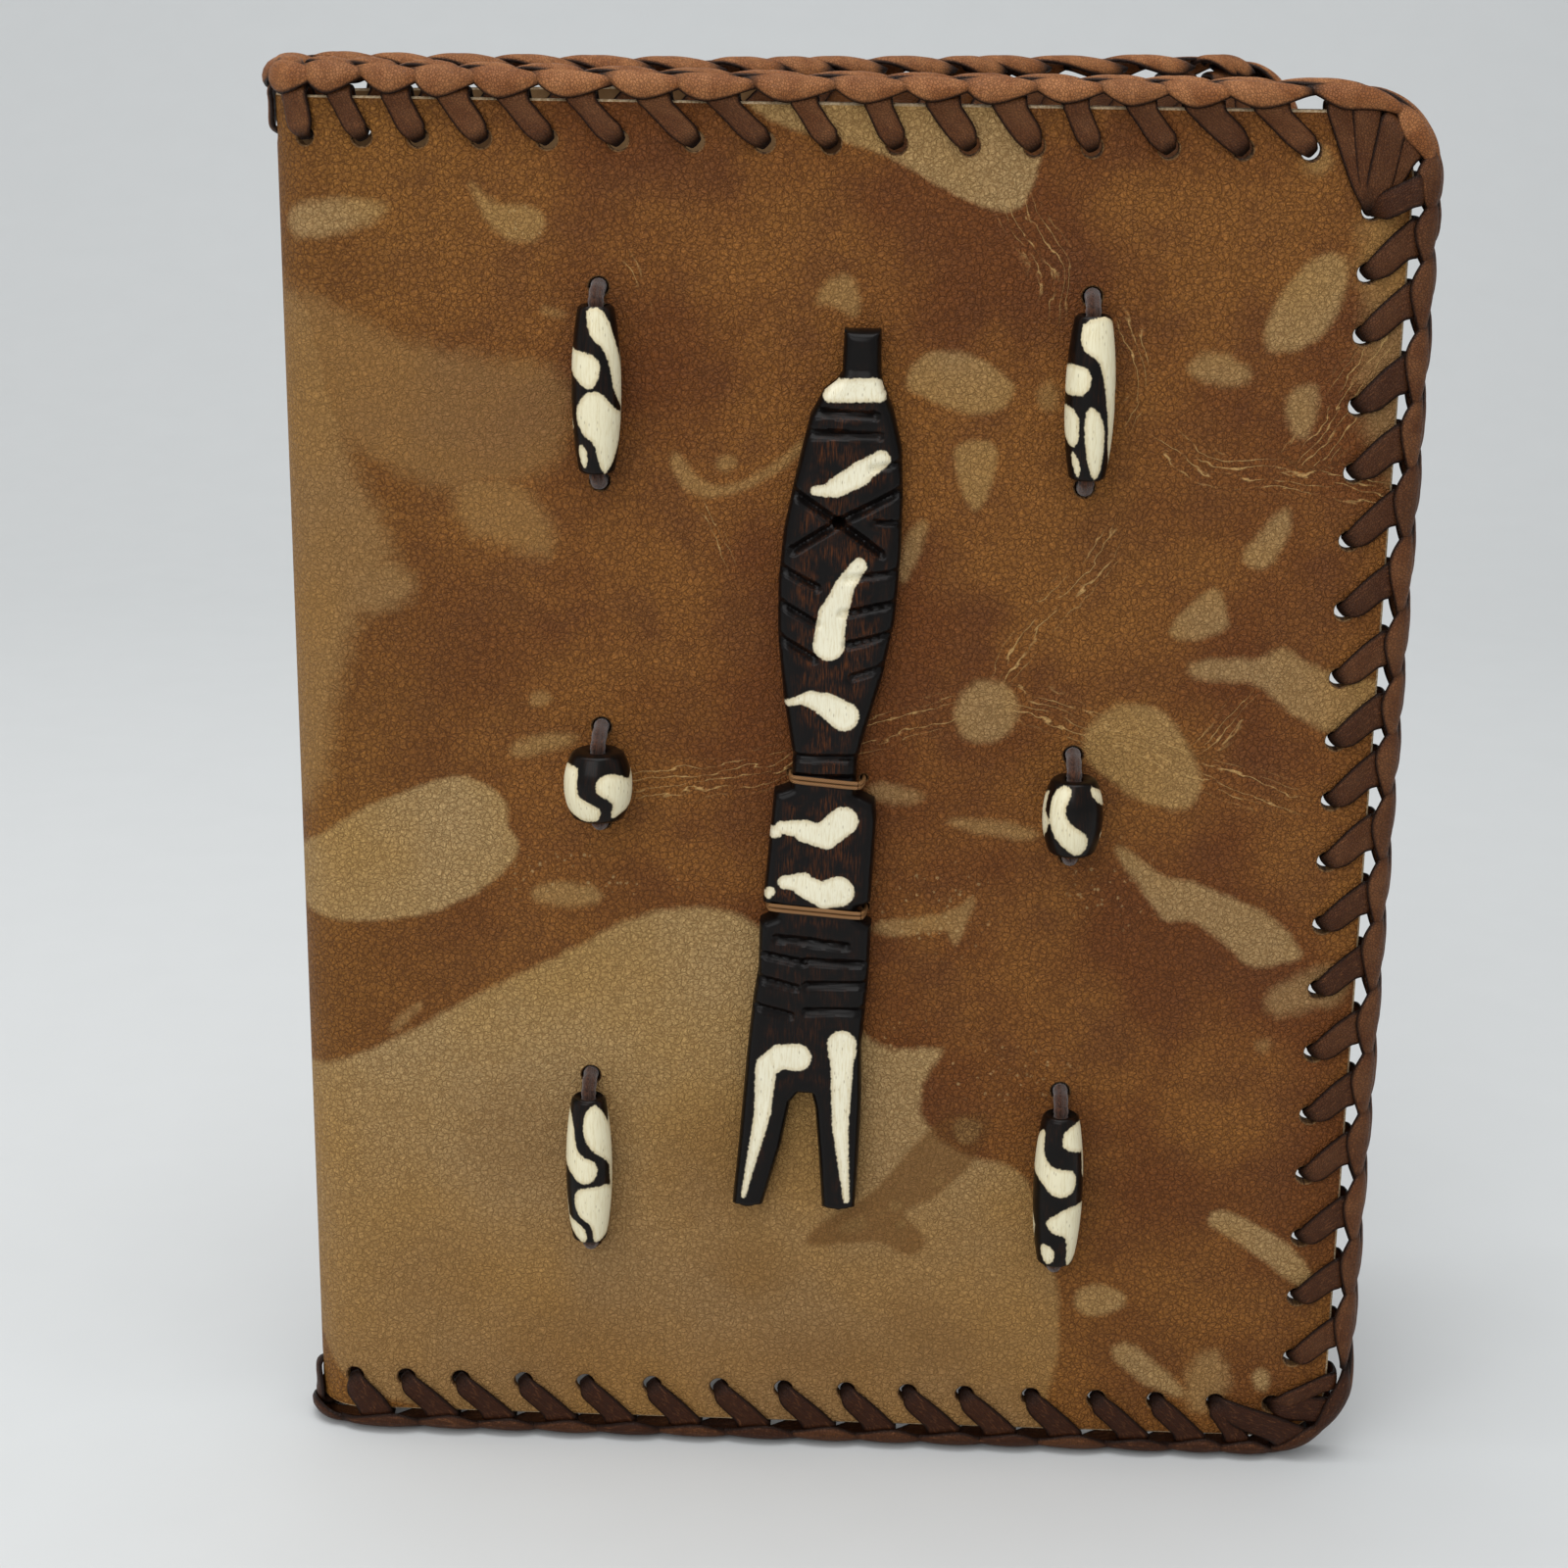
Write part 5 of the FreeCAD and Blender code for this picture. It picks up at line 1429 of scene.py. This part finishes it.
def carved_depth(px, pz, depth_in):
    """Height of the carved face over the figure's back, and how much of each groove is there."""
    shoulder = np.clip(depth_in / 1.6, 0, 1)
    edge_round = 0.62 + 0.38 * np.sqrt(1 - (1 - shoulder) ** 2)
    body = np.clip((pz - 112) / 6, 0, 1)
    middle = 83.2 - (150 - pz) * 0.05
    bulge = 1 - 0.16 * body * np.clip(np.abs(px - middle) / 9, 0, 1) ** 2
    height = FIGURE_T * edge_round * bulge
    height -= 0.5 * np.clip((pz - 176.4) / 1.0, 0, 1)
    groove = np.zeros(px.shape)
    for x1, z1, x2, z2, half, deep in GROOVES:
        g = capsule(px, pz, x1, z1, x2, z2, half)
        cut_in = np.clip((g + 0.35) / (half + 0.35), 0, 1) ** 0.8
        height -= 1.5 * deep * cut_in
        groove = np.maximum(groove, cut_in)
    facets = 0.09 * np.sin(px * 0.9 + 0.3 * pz) + 0.06 * np.sin(pz * 0.55 - px * 0.4)
    return height + facets * shoulder, groove


def carve():
    """The figure as a finely carved slab, one closed mesh."""
    ring = np.array(FIGURE)
    dense = []
    for a, b in zip(ring, np.roll(ring, -1, 0)):
        count = max(1, int(math.dist(a, b) / 0.4))
        dense += [a + (b - a) * t for t in np.arange(count) / count]
    dense = np.array(dense)
    low, high = dense.min(0), dense.max(0)
    step = 0.36
    gx, gz = np.meshgrid(np.arange(low[0], high[0], step), np.arange(low[1], high[1], step * 0.87))
    gx = (gx + (np.arange(gx.shape[0]) % 2)[:, None] * step / 2).ravel()
    gz = gz.ravel()
    d = inside_ring(gx, gz, ring)
    keep = d > 0.22
    points = np.concatenate([dense, np.stack([gx[keep], gz[keep]], -1)])
    depth_in = np.concatenate([np.zeros(len(dense)), d[keep]])
    count, total = len(dense), len(points)
    tris = flat_mesh(points, ring_edges(count))
    middles = points[tris].mean(axis=1)
    tris = turned_up(points, tris[inside_ring(middles[:, 0], middles[:, 1], ring) > 1e-4])
    px, pz = points[:, 0], points[:, 1]
    height, groove = carved_depth(px, pz, depth_in)
    cream = np.full(px.shape, -2.0)
    for mark in CREAMS:
        cream = np.maximum(cream, capsule(px, pz, *mark))
    x, y_back = X0 + px, np.full(total, SKIN_Y + FIGURE_BACK)
    co = np.concatenate([np.stack([x, y_back - height, pz], -1), np.stack([x, y_back, pz], -1)])
    i = np.arange(count)
    j = (i + 1) % count
    wall = np.concatenate([np.stack([i, i + total, j + total], -1), np.stack([i, j + total, j], -1)])
    turn = np.sum(dense[:, 0] * np.roll(dense[:, 1], -1) - np.roll(dense[:, 0], -1) * dense[:, 1])
    if turn < 0:
        wall = wall[:, ::-1]
    # the figure is warm brown on the body's flat parts and black on the legs, near the edges and in the
    # grooves
    warm = (0.30 + 0.70 * np.clip((pz - 90) / 6, 0, 1)) * (1 - groove)
    warm = warm * np.clip((177 - pz) / 2, 0.2, 1) * np.clip((depth_in - 1.2) / 2.0, 0, 1)
    bone = np.stack([px, pz, warm], -1)
    b = Build()
    b.add(co, np.concatenate([tris, tris[:, ::-1] + total, wall]),
          bone=np.concatenate([bone, bone]), cream=np.concatenate([cream, cream - 4]))
    return b.finish("carved_bone_figure", [figure_bone], 42)


figure_bone = bone_material("figure_bone", 0.8, rgb(240, 234, 208), (rgb(13, 10, 9), rgb(84, 44, 16)))
figure = carve()
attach(figure, "front")
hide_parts("carved_figure")


def thread_material():
    """Twisted waxed thread."""
    s = Shade("waxed_thread", roughness=0.55, specular=0.4)
    wave_in = {"Vector": s.attribute("strip")[0], "Scale": 1.6, "Distortion": 0.6}
    twist = s.node("TexWave", wave_in, wave_type="BANDS", bands_direction="DIAGONAL").outputs["Fac"]
    s.set("Base Color", s.mix(twist, rgb(92, 58, 30), rgb(170, 124, 74)))
    s.set("Normal", s.bump(twist, 0.7, 0.12))
    return s.material


thread_skin = thread_material()
for name, height, half in TIES:
    (xl, zl), (xr, zr) = figure_place(-half, height), figure_place(half, height)
    crest = 0.97 if name == "lower" else 0.94
    front_y = SKIN_Y + FIGURE_BACK - FIGURE_T * crest - 0.34
    inner = SKIN_Y + COVER_T
    centre_x, centre_z = X0 + (xl + xr) / 2, (zl + zr) / 2

    def flank(x, z, s, rise):
        """One side of a turn of thread, from inside the cover up to the figure's face."""
        return [(X0 + x + s * 0.1, inner + 0.5, z + rise * 0.3), (X0 + x, SKIN_Y + 0.4, z + rise * 0.3),
                (X0 + x - s * 0.05, SKIN_Y - 1.4, z + rise * 0.5),
                (X0 + x + s * 0.35, front_y + 0.8, z + rise * 0.8),
                (X0 + x + s * 1.4, front_y + 0.06, z + rise)]
    b = Build()
    for k, rise in enumerate((-0.34, 0.34)):
        lane = flank(xl, zl, 1, rise) + [(centre_x, front_y - 0.02, centre_z + rise)]
        lane += flank(xr, zr, -1, rise)[::-1]
        tube(b, smooth_keys(lane, 70), 0.30, 10, 0.2 + k)
    knot = [(X0 + xl, inner + 0.45, zl), (centre_x, inner + 0.7, centre_z + 0.4),
            (X0 + xr, inner + 0.45, zr)]
    tube(b, smooth_keys(knot, 24), 0.34, 10, 0.7)
    tie = b.finish(name + "_thread", [thread_skin], 60)
    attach(tie, "front")
    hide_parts(name + "_figure_tie")

# ---- floor, light and camera --------------------------------------------------------------
def sweep():
    """A pale floor that curves up into the backdrop, in metres."""
    bend_at, bend_r, half_width = 0.55, 0.75, 2.6
    profile = [(-1.6, 0.0), (bend_at, 0.0)]
    for a in np.linspace(0, math.pi / 2, 16)[1:]:
        profile.append((bend_at + bend_r * math.sin(a), bend_r - bend_r * math.cos(a)))
    profile.append((bend_at + bend_r, 3.2))
    co = [(x, y, z - 0.0002) for y, z in profile for x in (-half_width, half_width)]
    faces = [(2 * i, 2 * i + 1, 2 * i + 3, 2 * i + 2) for i in range(len(profile) - 1)]
    mesh = bpy.data.meshes.new("sweep")
    mesh.from_pydata(co, [], faces)
    mesh.shade_smooth()
    s = Shade("paper_sweep", roughness=0.9, specular=0.1)
    where = s.node("TexCoord").outputs["Object"]
    s.set("Base Color", s.mix(s.noise(where, 60, 2, 0.5), rgb(208, 210, 210), rgb(211, 213, 213)))
    mesh.materials.append(s.material)
    obj = bpy.data.objects.new("sweep", mesh)
    bpy.context.scene.collection.objects.link(obj)
    return obj


sweep()

scene = bpy.context.scene
scene.view_settings.view_transform = "Standard"
scene.view_settings.look = "None"
world = bpy.data.worlds.new("studio")
scene.world = world
world.use_nodes = True
background = world.node_tree.nodes["Background"].inputs
background["Color"].default_value = (0.955, 0.975, 1.0, 1)
background["Strength"].default_value = 0.55


def area_light(name, at, aim, size, power):
    data = bpy.data.lights.new(name, "AREA")
    data.shape = "RECTANGLE"
    data.size, data.size_y = size
    data.energy = power
    obj = bpy.data.objects.new(name, data)
    obj.location = at
    obj.rotation_mode = "QUATERNION"
    obj.rotation_quaternion = (Vector(aim) - Vector(at)).to_track_quat("-Z", "Y")
    scene.collection.objects.link(obj)


area_light("overhead", (-0.1, -0.1, 1.15), (0.0, 0.0, 0.1), (1.1, 0.9), 9.0)
area_light("front_soft", (-0.5, -1.3, 0.9), (0.0, 0.0, 0.1), (1.2, 1.0), 8.0)

camera_data = bpy.data.cameras.new("camera")
camera_data.angle = math.radians(30)
camera_data.clip_start, camera_data.clip_end = 0.01, 20
camera = bpy.data.objects.new("camera", camera_data)
# the photograph's angle: the camera's right and up, and its place from the front cover's corner
right = Vector((0.99904, 0.04216, 0.01186)).normalized()
up = Vector((-0.02358, 0.28982, 0.95679))
up = (up - right * up.dot(right)).normalized()
at = Vector((92.9 + X0, -430.1 + SKIN_Y, 234.5 + ROW_LOW)) * MM
axes = Matrix((right, up, right.cross(up))).transposed().to_4x4()
camera.matrix_world = Matrix.Translation(at) @ axes
scene.collection.objects.link(camera)
scene.camera = camera
